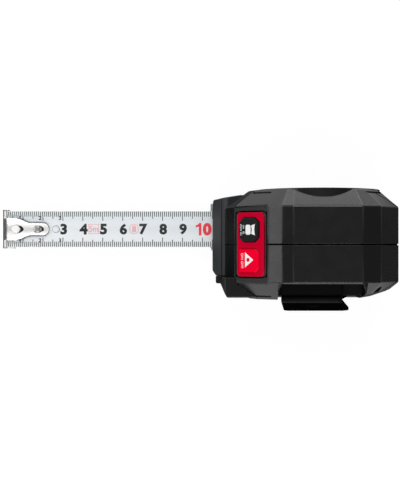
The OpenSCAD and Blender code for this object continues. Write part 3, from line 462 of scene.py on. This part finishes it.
def settle(piece, node):
    """Gives a piece the body of a CAD node."""
    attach(piece, BODY_OF[node])
    return piece


def baked(piece):
    """Turns a piece and its modifiers into a plain mesh."""
    bpy.context.view_layer.update()
    graph = bpy.context.evaluated_depsgraph_get()
    mesh = bpy.data.meshes.new_from_object(piece.evaluated_get(graph))
    piece.modifiers.clear()
    old = piece.data
    piece.data = mesh
    mesh.name = piece.name
    if not old.users:
        bpy.data.meshes.remove(old)
    return piece


def merged(node):
    """A bmesh of a CAD node with its doubled points merged."""
    form = bmesh.new()
    form.from_mesh(NODES[node].data)
    bmesh.ops.remove_doubles(form, verts=form.verts, dist=0.002 * MM)
    return form


def mark_edges(mesh, radius):
    """Stores 1 at the points inside a rounding, between its narrow faces, and 0 elsewhere.
    A strip is narrow when it is less wide than 0.9 of the radius."""
    form = bmesh.new()
    form.from_mesh(mesh)
    narrow = {f.index for f in form.faces
              if f.calc_area() < 0.9 * radius * f.calc_perimeter() / 2}
    # The points marked here get the lighter edge colour: rubbing and painted highlight.
    rubbed_and_lit = [float(abs(v.co.y) > 0.8 * MM and all(f.index in narrow for f in v.link_faces))
              for v in form.verts]
    form.free()
    mesh.attributes.new("edge_wear_and_highlight", "FLOAT", "POINT").data.foreach_set("value", rubbed_and_lit)


def rounded_copy(node, name, radius, fine=0.25, least=7, parted=False):
    """A merged copy of a CAD node with rounded edges: long ones by the whole radius, short
    ones and those of a parting line at y = 0 by a small share of it, and none that turns less
    than the least angle, in degrees."""
    form = merged(node)
    bmesh.ops.dissolve_limit(form, angle_limit=math.radians(0.4), verts=form.verts,
                             edges=form.edges)
    layers = form.edges.layers.float
    weights = layers.get("bevel_weight_edge") or layers.new("bevel_weight_edge")
    for edge in form.edges:
        if len(edge.link_faces) != 2 or edge.calc_face_angle(0) < math.radians(least):
            continue
        middle = (edge.verts[0].co + edge.verts[1].co) / 2
        on_seam = parted and abs(middle.y) < 0.6 * MM
        edge[weights] = 1.0 if edge.calc_length() > 5 * MM and not on_seam else fine
    mesh = NODES[node].data.copy()
    form.to_mesh(mesh)
    form.free()
    piece = bpy.data.objects.new(name, mesh)
    scene.collection.objects.link(piece)
    bevel = piece.modifiers.new("rounding", "BEVEL")
    bevel.limit_method = "WEIGHT"
    bevel.width = radius
    bevel.segments = 3
    bevel.use_clamp_overlap = False
    bevel.harden_normals = True
    flats = piece.modifiers.new("flats", "WEIGHTED_NORMAL")
    flats.weight = 100
    mesh.shade_smooth()
    baked(piece)
    mark_edges(piece.data, radius)
    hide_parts(node)
    return settle(piece, node)


def surface_of(*pieces):
    """Search tree over the faces of the given pieces."""
    points, faces = [], []
    for piece in pieces:
        start = len(points)
        points += [v.co.copy() for v in piece.data.vertices]
        faces += [[start + i for i in f.vertices] for f in piece.data.polygons]
    return BVHTree.FromPolygons(points, faces)


def dropped(surface, x, y):
    """The highest point of the surface at (x, y), or just inside its outline, and its normal."""
    above, down = 0.3, Vector((0, 0, -1))
    for step in range(40):
        inside = 1 - 0.004 * step
        hit, normal = surface.ray_cast(Vector((x * inside, y * inside, above)), down)[:2]
        if hit:
            return hit, normal
    raise ValueError("no surface near the point")


# ---- flat shapes for print and marks -------------------------------------------------------


def flat_mesh(points):
    mesh = bpy.data.meshes.new("flat")
    mesh.from_pydata([(p[0], p[1], 0) for p in points], [], [range(len(points))])
    return mesh


def round_outline(width, height, radius, steps=4):
    points = []
    for sx, sy, start in ((1, -1, -90), (1, 1, 0), (-1, 1, 90), (-1, -1, 180)):
        for k in range(steps + 1):
            a = math.radians(start + 90 * k / steps)
            points.append((sx * (width / 2 - radius) + radius * math.cos(a),
                           sy * (height / 2 - radius) + radius * math.sin(a)))
    return points


def outline_mesh(points, line):
    """Flat closed band of the given line width inside an outline that runs anticlockwise."""
    count = len(points)
    inner = []
    for i, point in enumerate(points):
        before = (Vector(point) - Vector(points[i - 1])).normalized()
        after = (Vector(points[(i + 1) % count]) - Vector(point)).normalized()
        normal = Vector((-(before + after).y, (before + after).x)).normalized()
        reach = line / max(0.3, normal.dot(Vector((-after.y, after.x))))
        inner.append(Vector(point) + normal * reach)
    mesh = bpy.data.meshes.new("outline")
    mesh.from_pydata(
        [(p[0], p[1], 0) for p in points] + [(p.x, p.y, 0) for p in inner], [],
        [(i, (i + 1) % count, count + (i + 1) % count, count + i) for i in range(count)],
    )
    return mesh


def holed(outer, inner):
    """A flat mesh that fills one outline except for another inside it."""
    form = bmesh.new()
    edges = []
    for points in (outer, inner):
        verts = [form.verts.new((p[0], p[1], 0)) for p in points]
        edges += [form.edges.new((verts[i - 1], verts[i])) for i in range(len(verts))]
    bmesh.ops.triangle_fill(form, edges=edges, use_beauty=True)
    return mesh_of(form, "holed")


def text_mesh(body, height, weight=0.0, width=1.0):
    """Flat outline of generic figures, centred on the origin and as tall as height."""
    font = bpy.data.curves.new("figures", "FONT")
    font.body = body
    font.align_x = "CENTER"
    font.align_y = "CENTER"
    font.size = 1
    font.offset = weight
    font.resolution_u = 4
    holder = bpy.data.objects.new("figures", font)
    scene.collection.objects.link(holder)
    bpy.context.view_layer.update()
    graph = bpy.context.evaluated_depsgraph_get()
    mesh = bpy.data.meshes.new_from_object(holder.evaluated_get(graph))
    bpy.data.objects.remove(holder)
    bpy.data.curves.remove(font)
    low = Vector([min(v.co[i] for v in mesh.vertices) for i in range(3)])
    high = Vector([max(v.co[i] for v in mesh.vertices) for i in range(3)])
    scale = height / (high.y - low.y)
    centre = (low + high) / 2
    for v in mesh.vertices:
        v.co = Vector(((v.co.x - centre.x) * scale * width, (v.co.y - centre.y) * scale, 0))
    return mesh


# ---- camera, floor and light ---------------------------------------------------------------


def set_camera():
    """Looks straight down, as on a copy stand."""
    lens = bpy.data.cameras.new("camera")
    lens.sensor_width = 36
    lens.lens = 91.8
    lens.clip_start = 0.01
    lens.clip_end = 20
    eye = bpy.data.objects.new("camera", lens)
    eye.location = (-58.65 * MM, -2.54 * MM, 650 * MM)
    scene.collection.objects.link(eye)
    scene.camera = eye


def set_floor():
    """Matt floor that looks white to the camera, in gloss and through glass, and keeps shadows."""
    half = 3.0
    mesh = bpy.data.meshes.new("floor")
    mesh.from_pydata(
        [(-half, -half, 0), (half, -half, 0), (half, half, 0), (-half, half, 0)], [], [(0, 1, 2, 3)]
    )
    floor = bpy.data.objects.new("floor", mesh)
    scene.collection.objects.link(floor)
    pale = bpy.data.materials.new("floor_white")
    pale.use_nodes = True
    tree = pale.node_tree
    nodes, link = tree.nodes, tree.links.new
    nodes.clear()
    out = nodes.new("ShaderNodeOutputMaterial")
    matt = nodes.new("ShaderNodeBsdfDiffuse")
    matt.inputs["Color"].default_value = (0.1, 0.1, 0.1, 1)
    glow = nodes.new("ShaderNodeEmission")
    both = nodes.new("ShaderNodeAddShader")
    seen = nodes.new("ShaderNodeLightPath").outputs
    split = nodes.new("ShaderNodeSeparateXYZ")
    link(nodes.new("ShaderNodeTexCoord").outputs["Object"], split.inputs["Vector"])
    sideways = math_node(tree, "ABSOLUTE", split.outputs["Y"])
    beside_case = map_range(tree, sideways, 0, 1.1, 45 * MM, 80 * MM)
    in_gloss = math_node(tree, "MULTIPLY", beside_case, seen["Is Glossy Ray"])
    direct = math_node(tree, "MAXIMUM", seen["Is Camera Ray"], seen["Is Transmission Ray"])
    level = math_node(tree, "MAXIMUM", map_range(tree, direct, 0, 0.93), in_gloss)
    link(level, glow.inputs["Strength"])
    link(matt.outputs["BSDF"], both.inputs[0])
    link(glow.outputs["Emission"], both.inputs[1])
    link(both.outputs["Shader"], out.inputs["Surface"])
    mesh.materials.append(pale)


def add_softbox(name, place, aim, size, level):
    """Rectangular lamp of the given width, height and surface brightness."""
    light = bpy.data.lights.new(name, "AREA")
    light.shape = "RECTANGLE"
    light.size, light.size_y = size
    light.energy = level * math.pi * size[0] * size[1]
    lamp = bpy.data.objects.new(name, light)
    lamp.location = place
    lamp.rotation_euler = (Vector(aim) - Vector(place)).to_track_quat("-Z", "Y").to_euler()
    scene.collection.objects.link(lamp)


def set_light():
    """A dim white room that looks white to the camera, and five soft boxes."""
    world = bpy.data.worlds.new("studio")
    world.use_nodes = True
    scene.world = world
    tree = world.node_tree
    back = tree.nodes["Background"]
    back.inputs["Color"].default_value = (1, 1, 1, 1)
    seen = tree.nodes.new("ShaderNodeLightPath").outputs
    tree.links.new(map_range(tree, seen["Is Camera Ray"], 0.14, 0.95), back.inputs["Strength"])
    for name, side, main in (("near", -0.6, 4.3), ("far", 0.6, 3.6)):
        add_softbox("main_" + name, (-0.05, side, 0.9), (-0.05, 0, 0), (0.7, 0.55), main)
        add_softbox("low_" + name, (0, side, 0.11), (0, 0, 0.05), (1.1, 0.2), 2.6)
    add_softbox("front", (-0.72, 0.1, 0.41), (0, 0, 0.05), (0.9, 0.24), 2.6)
    scene.view_settings.view_transform = "Standard"


# ---- blade and its print -------------------------------------------------------------------


def on_blade(x, across):
    """A point over the blade's upper face: across is measured round the hollow from its middle."""
    reach = BLADE_INNER - PRINT_LIFT
    turn = across / BLADE_INNER
    return Vector((x, BLADE_Y + reach * math.sin(turn),
                   BLADE_Z + BLADE_BEND - reach * math.cos(turn)))


def ride_on_blade(piece):
    """The piece moves with the tape."""
    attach(piece, "tape")
    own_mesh(piece)


def make_blade():
    """Hollow strip from the hook to the reel, where it lies flat under the wound turns."""
    across_steps, hollow_end, flat_start = 28, -47 * MM, -34 * MM
    stations = [BLADE_LO.x + (hollow_end - BLADE_LO.x) * i / 40 for i in range(41)]
    stations += [hollow_end + (flat_start - hollow_end) * i / 8 for i in range(1, 9)]
    stations.append(BLADE_HI.x)
    form = bmesh.new()
    rings = []
    for x in stations:
        part = min(1, max(0, (x - hollow_end) / (flat_start - hollow_end)))
        radius = BLADE_BEND / max(0.02, (1 + math.cos(math.pi * part)) / 2)
        ring = []
        for side in (-1, 1):
            reach = radius - side * BLADE_SKIN / 2
            for i in range(across_steps + 1):
                turn = side * (1 - 2 * i / across_steps) * BLADE_WIDTH / 2 / radius
                ring.append(form.verts.new((x, BLADE_Y - reach * math.sin(turn),
                                            BLADE_Z + radius - reach * math.cos(turn))))
        rings.append(ring)
    for a, b in zip(rings, rings[1:]):
        for i in range(len(a)):
            j = (i + 1) % len(a)
            form.faces.new((a[i], b[i], b[j], a[j]))
    form.faces.new(rings[0])
    form.faces.new(rings[-1][::-1])
    bmesh.ops.recalc_face_normals(form, faces=form.faces)
    piece = add_piece("printed_blade", mesh_of(form, "printed_blade"), "blade")
    piece.data.shade_smooth()
    piece.data.set_sharp_from_angle(angle=math.radians(35))
    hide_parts("blade")
    ride_on_blade(piece)


def tick_tree(material):
    """Graduation lines along both edges: every fifth longer, every tenth the longest."""
    tree = bpy.data.node_groups.new("graduations", "GeometryNodeTree")
    socket = tree.interface.new_socket
    socket("Geometry", in_out="INPUT", socket_type="NodeSocketGeometry")
    for name in ("Start", "Pitch", "Line Width", "Short Length", "Step Length", "Edge",
                 "Bend Radius", "Lift"):
        socket(name, in_out="INPUT", socket_type="NodeSocketFloat")
    socket("Count", in_out="INPUT", socket_type="NodeSocketInt")
    socket("Geometry", in_out="OUTPUT", socket_type="NodeSocketGeometry")
    new, link = tree.nodes.new, tree.links.new
    given = new("NodeGroupInput").outputs

    def vector(**parts):
        made = new("ShaderNodeCombineXYZ")
        for axis, value in parts.items():
            if isinstance(value, float):
                made.inputs[axis].default_value = value
            else:
                link(value, made.inputs[axis])
        return made.outputs[0]

    line = new("GeometryNodeMeshLine")
    link(given["Count"], line.inputs["Count"])
    link(vector(X=given["Start"]), line.inputs["Start Location"])
    link(vector(X=given["Pitch"]), line.inputs["Offset"])
    number = math_node(tree, "ADD", new("GeometryNodeInputIndex").outputs[0], 1)

    def every(count):
        return math_node(tree, "LESS_THAN", math_node(tree, "MODULO", number, count), 0.5)

    steps = math_node(tree, "ADD", every(5), every(10))
    length = math_node(tree, "ADD", given["Short Length"],
                       math_node(tree, "MULTIPLY", steps, given["Step Length"]))
    both_edges = new("GeometryNodeJoinGeometry")
    for side in (-1, 1):
        tick = new("GeometryNodeMeshGrid")
        link(given["Line Width"], tick.inputs["Size X"])
        tick.inputs["Size Y"].default_value = 1.0
        tick.inputs["Vertices X"].default_value = 2
        tick.inputs["Vertices Y"].default_value = 5
        inward = new("GeometryNodeTransform")
        inward.inputs["Translation"].default_value = (0, -side * 0.5, 0)
        link(tick.outputs["Mesh"], inward.inputs["Geometry"])
        placed = new("GeometryNodeInstanceOnPoints")
        link(line.outputs["Mesh"], placed.inputs["Points"])
        link(inward.outputs["Geometry"], placed.inputs["Instance"])
        link(vector(X=1.0, Y=length, Z=1.0), placed.inputs["Scale"])
        at_edge = new("GeometryNodeTransform")
        link(placed.outputs["Instances"], at_edge.inputs["Geometry"])
        link(vector(Y=math_node(tree, "MULTIPLY", given["Edge"], side)),
             at_edge.inputs["Translation"])
        link(at_edge.outputs["Geometry"], both_edges.inputs["Geometry"])
    real = new("GeometryNodeRealizeInstances")
    link(both_edges.outputs["Geometry"], real.inputs["Geometry"])
    place = new("ShaderNodeSeparateXYZ")
    link(new("GeometryNodeInputPosition").outputs[0], place.inputs[0])
    turn = math_node(tree, "DIVIDE", place.outputs["Y"], given["Bend Radius"])
    reach = math_node(tree, "SUBTRACT", given["Bend Radius"], given["Lift"])
    aside = math_node(tree, "MULTIPLY", math_node(tree, "SINE", turn), reach)
    drop = math_node(tree, "MULTIPLY", math_node(tree, "COSINE", turn), reach)
    bend = new("GeometryNodeSetPosition")
    link(real.outputs["Geometry"], bend.inputs["Geometry"])
    link(vector(X=place.outputs["X"], Y=math_node(tree, "ADD", aside, BLADE_Y),
                Z=math_node(tree, "SUBTRACT", BLADE_Z + BLADE_BEND, drop)),
         bend.inputs["Position"])
    paint = new("GeometryNodeSetMaterial")
    paint.inputs["Material"].default_value = material
    link(bend.outputs["Geometry"], paint.inputs["Geometry"])
    link(paint.outputs["Geometry"], new("NodeGroupOutput").inputs["Geometry"])
    return tree


def make_ticks():
    piece = add_piece("graduations", bpy.data.meshes.new("graduations"), "ink")
    grow = piece.modifiers.new("graduations", "NODES")
    grow.node_group = tick_tree(MATS["ink"])
    values = {
        "Start": HOOK_X + 0.95 * MM, "Pitch": 1 * MM, "Line Width": 0.38 * MM,
        "Short Length": 2.9 * MM, "Step Length": 1.1 * MM, "Edge": BLADE_WIDTH / 2 - 0.1 * MM,
        "Bend Radius": BLADE_INNER, "Lift": PRINT_LIFT, "Count": 123,
    }
    for item in grow.node_group.interface.items_tree:
        if item.in_out == "INPUT" and item.name in values:
            grow[item.identifier] = values[item.name]
    piece.data.materials.clear()
    ride_on_blade(baked(piece))


def print_on_blade(name, parts, finish):
    """Lays flat meshes, each with its place along and across, on the blade as one piece."""
    form = joined(parts)
    step = 0.6 * MM
    for k in range(-16, 17):
        bmesh.ops.bisect_plane(form, geom=form.verts[:] + form.edges[:] + form.faces[:],
                               plane_co=(0, k * step, 0), plane_no=(0, 1, 0), dist=1e-7)
    face_along(form, 2)
    for v in form.verts:
        v.co = on_blade(v.co.x, v.co.y)
    ride_on_blade(add_piece(name, mesh_of(form, name), finish))


def at_cm(centimetres):
    """The place along the blade of a distance from the hook's face."""
    return HOOK_X + centimetres * 10 * MM


def make_figures():
    """Centimetres in the middle and small along the edges, red tens, the length and class signs."""
    row = BLADE_WIDTH / 2 - 3.75 * MM  # of the small figures, off the middle
    black = [(text_mesh(str(n), 5.5 * MM, 0.05, 1.06), at_cm(n) + 0.25 * MM, 0.05 * MM)
             for n in range(3, 10)]
    black += [(text_mesh(str(n), 2.2 * MM, 0.035), at_cm(n) - 1.5 * MM, side * row)
              for n in (1, 2, 3) for side in (1, -1)]
    print_on_blade("figures_black", black, "ink")

    flagged_one = flat_mesh(in_mm([(0.1, -3.2), (1.35, -3.2), (1.35, 3.2), (0.4, 3.2),
                                   (-0.4, 2.3), (-1.5, 1.9), (-1.5, 0.9), (0.1, 1.3)]))
    print_on_blade("figures_red", [
        (flagged_one, at_cm(10) - 1.9 * MM, 0),
        (text_mesh("0", 6.5 * MM, 0.055), at_cm(10) + 2.35 * MM, 0),
    ], "red_ink")

    low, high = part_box("blade_rivet")
    ring = outline_mesh(round_outline(3.8 * MM, 3.8 * MM, 1.9 * MM, 8), 0.22 * MM)
    print_on_blade("rivet_ring", [(ring, (low.x + high.x) / 2, 0)], "outline_grey")

    signs = [(outline_mesh(round_outline(5.2 * MM, 5.0 * MM, 0.05 * MM), 0.26 * MM), 4.53),
             (text_mesh("5m", 3.0 * MM, 0.01, 0.9), 4.53),
             (outline_mesh(round_outline(4.5 * MM, 4.9 * MM, 1.8 * MM), 0.26 * MM), 6.56)]
    for place in (6.51, 6.61):
        bar = outline_mesh(round_outline(0.75 * MM, 3.0 * MM, 0.05 * MM), 0.36 * MM)
        signs.append((bar, place))
    print_on_blade("figures_pale_red", [(mesh, at_cm(place), 0.1 * MM) for mesh, place in signs],
                   "pale_ink")


# ---- case and fittings ---------------------------------------------------------------------

ROUNDED = {  # node: name, radius in mm, share for short edges, least turn in degrees
    "front_bumper": ("bumper", 0.5, 0.25, 7),
    "mouth_lip": ("wear_lip", 0.3, 1.0, 7),
    "belt_clip": ("clip", 0.35, 0.5, 7),
    "laser_shroud": ("shroud", 0.5, 0.3, 7),
    "button_panel": ("keypad_panel", 0.25, 1.0, 50),
    "measure_button": ("red_key", 0.3, 1.0, 50),
    "mode_button": ("black_key", 0.3, 1.0, 50),
    "battery_door": ("door", 0.3, 0.4, 7),
    "release_lever": ("lever", 0.3, 0.4, 7),
}


# Tests that pick faces for another finish, by centre in mm and normal.


def on_front_wall(at, normal):
    return at.z > 25 and normal.x < -0.9


def on_keypad_seat(at, normal):
    sloping = normal.z > 0.5 and abs(normal.y) < 0.1 and 0.55 < -normal.x < 0.7
    return sloping and at.x < -26 and at.z > 50


def in_clip_recess(at, normal):
    return -23 < at.x < 17.5 and at.y < -15 and 53 < at.z < 66


def on_seam(at, normal):
    return abs(at.y) < 0.3


def on_clip_top(at, normal):
    return at.z > 52 and at.y > -27


def on_hook_bend(at, normal):
    return at.x < HOOK_X / MM + 2 and normal.z > 0.2 or abs(normal.y) > 0.8


def make_shell(node, name):
    """One half of the case, with its seat and seam, and painted shade on its front wall, in the
    clip's notch and in its screw bores.
    """
    shell = rounded_copy(node, name, 0.55 * MM, parted=True)
    for finish, chosen in (("recess", on_front_wall), ("keypad_seat", on_keypad_seat),
                           ("recess", in_clip_recess), ("gap", on_seam)):
        refinish(shell.data, finish, chosen)
    # Painted shade in the screw bores.
    for k in range(1, 5):
        low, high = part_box(f"case_screw_{k}")
        bore = (low + high) / 2 / MM
        refinish(shell.data, "recess", lambda at, normal: at.y < -15 and abs(normal.y) < 0.5
                 and math.hypot(at.x - bore.x, at.z - bore.z) < 2.4)
    return shell


def smooth_path(points, closed=False):
    """Points every half millimetre along a curve that passes through the given ones."""
    count = len(points)
    path = []
    for i in range(count if closed else count - 1):
        near = [j % count if closed else min(max(j, 0), count - 1) for j in range(i - 1, i + 3)]
        a, b, c, d = (Vector(points[j]) for j in near)
        parts = max(1, round((c - b).length / (0.5 * MM)))
        for k in range(parts):
            t = k / parts
            path.append(0.5 * (2 * b + (c - a) * t + (2 * a - 5 * b + 4 * c - d) * t * t
                               + (3 * b - a - 3 * c + d) * t * t * t))
    return path if closed else path + [Vector(points[-1])]


def gap_line(name, path, surface, closed=False):
    """A thin dark band, let into the case under a path drawn from above."""
    half, lift, depth = 0.25 * MM, 0.04 * MM, -0.1 * MM
    found = [dropped(surface, p.x, p.y) for p in path]
    count = len(found)
    rows = []
    form = bmesh.new()
    for i, (point, normal) in enumerate(found):
        before = found[i - 1][0] if closed or i else point
        after = found[(i + 1) % count if closed else min(i + 1, count - 1)][0]
        side = normal.cross(after - before).normalized() * half
        rows.append([form.verts.new(point + side * across + normal * height)
                     for across, height in ((1, lift), (-1, lift), (-1, depth), (1, depth))])
    for a, b in zip(rows, rows[1:] + rows[:1] if closed else rows[1:]):
        for k in range(4):
            form.faces.new((a[k], b[k], b[(k + 1) % 4], a[(k + 1) % 4]))
    if not closed:
        form.faces.new(rows[0])
        form.faces.new(rows[-1][::-1])
    bmesh.ops.recalc_face_normals(form, faces=form.faces)
    settle(add_piece(name, mesh_of(form, name), "gap"), "case_clip_side")


def make_case_lines(surface):
    """The dark gaps along the outer cover and round the keypad, and two lines of painted shade
    along the steep rear facets.
    """
    lines = {
        "cover_line_front": [(-42.2, -18.4), (-38.6, -20.4), (-35.6, -22.4), (-33.3, -23.6)],
        # The rear two lines are painted shade along the steep rear facets.
        "shade_line_rear": [(26.2, -21.2), (29.8, -19.2), (33.2, -16.6)],
        "shade_line_far": [(22.8, 23.4), (27.4, 21.4), (32.8, 17.8)],
    }
    for name, points in lines.items():
        gap_line(name, smooth_path(in_mm(points)), surface)
    size = PANEL_HI - PANEL_LO
    upper = [v.co for v in NODES["button_panel"].data.vertices
             if (v.co.x - PANEL_LO.x) / size.x < (v.co.z - PANEL_LO.z) / size.z]
    front, rear = min(p.x for p in upper), PANEL_HI.x
    gap_x, gap_y, corner = 0.9 * MM, 1.1 * MM, 2.2 * MM
    edge = round_outline(rear - front + gap_x, size.y + gap_y, corner)
    middle = Vector(((front + rear) / 2, (PANEL_LO.y + PANEL_HI.y) / 2))
    path = smooth_path([Vector(p) + middle for p in edge], closed=True)
    gap_line("keypad_gap", path, surface, closed=True)


def shade_slot(form, surface, rivet, reach):
    """A dark crescent of painted shade beside a rivet of the hook, where its slot shows."""
    low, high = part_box(rivet)
    centre, radius = (low + high) / 2, (high.x - low.x) / 2
    rows = []
    for k in range(-6, 7):
        y = radius * 0.94 * k / 6
        rim = centre.x + math.sqrt(radius ** 2 - y ** 2)
        near, far = rim - 0.4 * MM, rim + reach * (1 - (k / 6) ** 2 * 0.5)
        found = [dropped(surface, near + (far - near) * j / 3, centre.y + y)[0] for j in range(4)]
        rows.append([form.verts.new(point + Vector((0, 0, PRINT_LIFT))) for point in found])
    for a, b in zip(rows, rows[1:]):
        for j in range(3):
            form.faces.new((a[j], a[j + 1], b[j + 1], b[j]))


def shade_rim(form):
    """A dark line of painted shade inside the upper edge of the hook's plate, behind its bend."""
    plate = merged("end_hook")
    for edge in plate.edges:
        upper = [f for f in edge.link_faces if f.normal.z > 0.5]
        walls = [f for f in edge.link_faces if abs(f.normal.z) < 0.3]
        at_bend = min(v.co.x for v in edge.verts) < HOOK_X + 2.4 * MM
        if len(upper) != 1 or len(walls) != 1 or at_bend:
            continue
        inward = -walls[0].normal * 0.3 * MM
        a, b = (v.co + Vector((0, 0, PRINT_LIFT)) for v in edge.verts)
        form.faces.new([form.verts.new(p) for p in (a, b, b + inward, a + inward)])
    plate.free()


def make_hook_shades():
    form = bmesh.new()
    surface = surface_of(NODES["end_hook"])
    shade_slot(form, surface, "hook_rivet_front", 1.9 * MM)
    shade_slot(form, surface, "hook_rivet_rear", 1.8 * MM)
    shade_rim(form)
    face_along(form, 2)
    settle(add_piece("hook_shades", mesh_of(form, "hook_shades"), "slot_shade"), "end_hook")


def make_case():
    shells = [make_shell("case_display_side", "shell_display_side"),
              make_shell("case_clip_side", "shell_clip_side")]
    for node, (name, radius, fine, least) in ROUNDED.items():
        rounded_copy(node, name, radius * MM, fine, least)
    refinish(bpy.data.objects["clip"].data, "clip_top_painted_light", on_clip_top)
    make_case_lines(surface_of(*shells))
    make_hook_shades()
    refinish(NODES["end_hook"].data, "hook_bend", on_hook_bend)


# ---- display -------------------------------------------------------------------------------

# Each segment's place across and up, in quarters of the figure's height, and its turn.
SEGMENTS = {"a": (0, 2, 0), "b": (1, 1, 90), "c": (1, -1, 90), "d": (0, -2, 0),
            "e": (-1, -1, 90), "f": (-1, 1, 90), "g": (0, 0, 0)}
LIT = {"0": "abcdef", "1": "bc", "2": "abged", "3": "abgcd", "4": "fgbc", "5": "afgcd",
       "6": "afgedc", "7": "abc"}


def segment_figure(figure, height):
    """A seven-segment figure, centred on the origin, leaning a little to the right."""
    quarter = height / 4
    bar = height * 0.07  # half a segment's width
    half = quarter - bar * 0.35  # half a segment's length, a little short of its corner
    parts = []
    for letter in LIT[figure]:
        across, up, turn = SEGMENTS[letter]
        mesh = flat_mesh([(-half, 0), (-half + bar, -bar), (half - bar, -bar), (half, 0),
                          (half - bar, bar), (-half + bar, bar)])
        mesh.transform(Matrix.Rotation(math.radians(turn), 4, "Z"))
        parts.append((mesh, across * quarter, up * quarter))
    form = joined(parts)
    for v in form.verts:
        v.co.x += v.co.y * 0.09
    return mesh_of(form, "figure")


def on_display(name, parts, y, finish):
    """Joins flat meshes, each with its place right and up of the display's middle, in mm."""
    middle = (LCD_LO + LCD_HI) / 2
    form = joined([(mesh, right * MM, up * MM) for mesh, right, up in parts])
    for v in form.verts:
        v.co = Vector((middle.x - v.co.x, y, middle.z + v.co.y))
    face_along(form, 1)
    return settle(add_piece(name, mesh_of(form, name), finish), "lcd_panel")


def make_display_figures():
    """Two lengths with their unit, a line between them, and a cell mark."""
    def block(width, height, radius):
        return flat_mesh(round_outline(width * MM, height * MM, radius * MM))

    cell = outline_mesh(round_outline(4.2 * MM, 2 * MM, 0.3 * MM), 0.26 * MM)
    parts = [
        (text_mesh("m", 3.4 * MM, 0.02), 14.3, -7.1), (block(1, 1, 0.2), -7.6, -8.4),
        (text_mesh("m", 1.9 * MM, 0.02), 11.6, 3.8), (block(0.6, 0.6, 0.1), 0.4, 3.2),
        (block(30, 0.22, 0.05), 0, 1.9), (cell, -12.6, 5.4),
    ]
    for text, rights, up, height in (("1234", (-10.6, -4.0, 2.6, 9.2), -4.3, 9),
                                     ("0567", (-1.2, 2.0, 5.2, 8.4), 5.2, 4.4)):
        parts += [(segment_figure(figure, height * MM), right, up)
                  for figure, right in zip(text, rights)]
    parts += [(block(0.7, 1.1, 0.1), right, 5.4) for right in (-13.6, -12.6, -11.6)]
    on_display("display_figures", parts, LCD_HI.y + PRINT_LIFT, "lcd_ink")


def make_display():
    """The figures, the printed mask behind the window, and the window lifted clear of it."""
    make_display_figures()
    low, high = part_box("display_window")
    lcd = LCD_HI - LCD_LO
    view = round_outline(lcd.x - 2.4 * MM, lcd.z - 2 * MM, 0.8 * MM)
    radius = (high.x - low.x) / 2 - 0.1 * MM
    offset = (low.z + high.z - LCD_LO.z - LCD_HI.z) / 2
    turns = [2 * math.pi * k / 72 for k in range(72)]
    rim = [(radius * math.cos(turn), offset + radius * math.sin(turn)) for turn in turns]
    mask = on_display("window_mask", [(holed(rim, view), 0, 0)], low.y + PRINT_LIFT, "mask")
    depth = mask.modifiers.new("depth", "SOLIDIFY")
    depth.thickness = 0.04 * MM
    depth.offset = 1
    baked(mask)

    glass = NODES["display_window"].data.copy()
    for v in glass.vertices:
        v.co.y = max(v.co.y, low.y + 0.12 * MM)
    pane = settle(add_piece("window_pane", glass, "dial"), "display_window")
    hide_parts("display_window")


# ---- keys and lever ------------------------------------------------------------------------


def on_key(node, mesh):
    """Puts a flat mesh drawn up the slope (x) and across it (y) on a key's top face."""
    slope = Matrix.Rotation(-KEYPAD_PITCH, 4, "Y")
    along, up = (slope.to_3x3() @ Vector(axis) for axis in ((1, 0, 0), (0, 0, 1)))
    points = [v.co for v in NODES[node].data.vertices]
    top = max(p.dot(up) for p in points)
    face = [p.dot(along) for p in points if abs(p.dot(up) - top) < 0.01 * MM]
    low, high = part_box(node)
    place = along * (min(face) + max(face)) / 2 + up * (top + PRINT_LIFT)
    place.y = (low.y + high.y) / 2
    mesh.transform(Matrix.Translation(place) @ slope)
    return mesh


def word(letters, along, height):
    """Letters that read across the slope, with their tops uphill; sizes in mm."""
    made = text_mesh(letters, height * MM, 0.0, 1.1)
    turned = Matrix.Rotation(-math.pi / 2, 4, "Z")
    made.transform(Matrix.Translation((along * MM, 0, 0)) @ turned)
    return made


def make_key_marks():
    """Triangle with a beam dot on the red key, a tape outline on the black one, small words."""
    dot = [(x + 0.1 * MM, y + 0.4 * MM)
           for x, y in round_outline(1.9 * MM, 1.9 * MM, 0.95 * MM)]
    marks = {
        "measure_button": [
            holed(in_mm([(-1.6, -3.1), (3.1, 0.4), (-1.6, 3.9)]), dot),
            word("ON OFF", -3.2, 1.25),
        ],
        "mode_button": [
            flat_mesh(in_mm([(-1.3, -1.6), (-0.8, -2.3), (1.0, -2.3), (1.6, -1.7), (1.6, 1.7),
                             (1.0, 2.3), (-0.8, 2.3), (-1.3, 1.6)])),
            flat_mesh(in_mm([(1.9, -1.9), (4.0, -2.6), (3.6, 0), (4.0, 2.6), (1.9, 1.9),
                             (2.3, 0)])),
            word("m  ft", -2.3, 1.35),
            word("mm in", -3.8, 1.2),
        ],
    }
    for node, meshes in marks.items():
        form = joined([(on_key(node, mesh), 0, 0) for mesh in meshes])
        face_along(form, 2)
        name = node + "_mark"
        settle(add_piece(name, mesh_of(form, name), "key_ink"), node)


def make_return_spring():
    """A copy of the lever's spring, on the spring's body."""
    spring = add_piece("return_spring", NODES["lever_spring"].data.copy(), "spring")
    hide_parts("lever_spring")
    settle(spring, "lever_spring")
    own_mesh(spring)


finish_nodes()
set_camera()
set_floor()
set_light()
make_blade()
make_ticks()
make_figures()
make_case()
make_key_marks()
make_display()
make_return_spring()
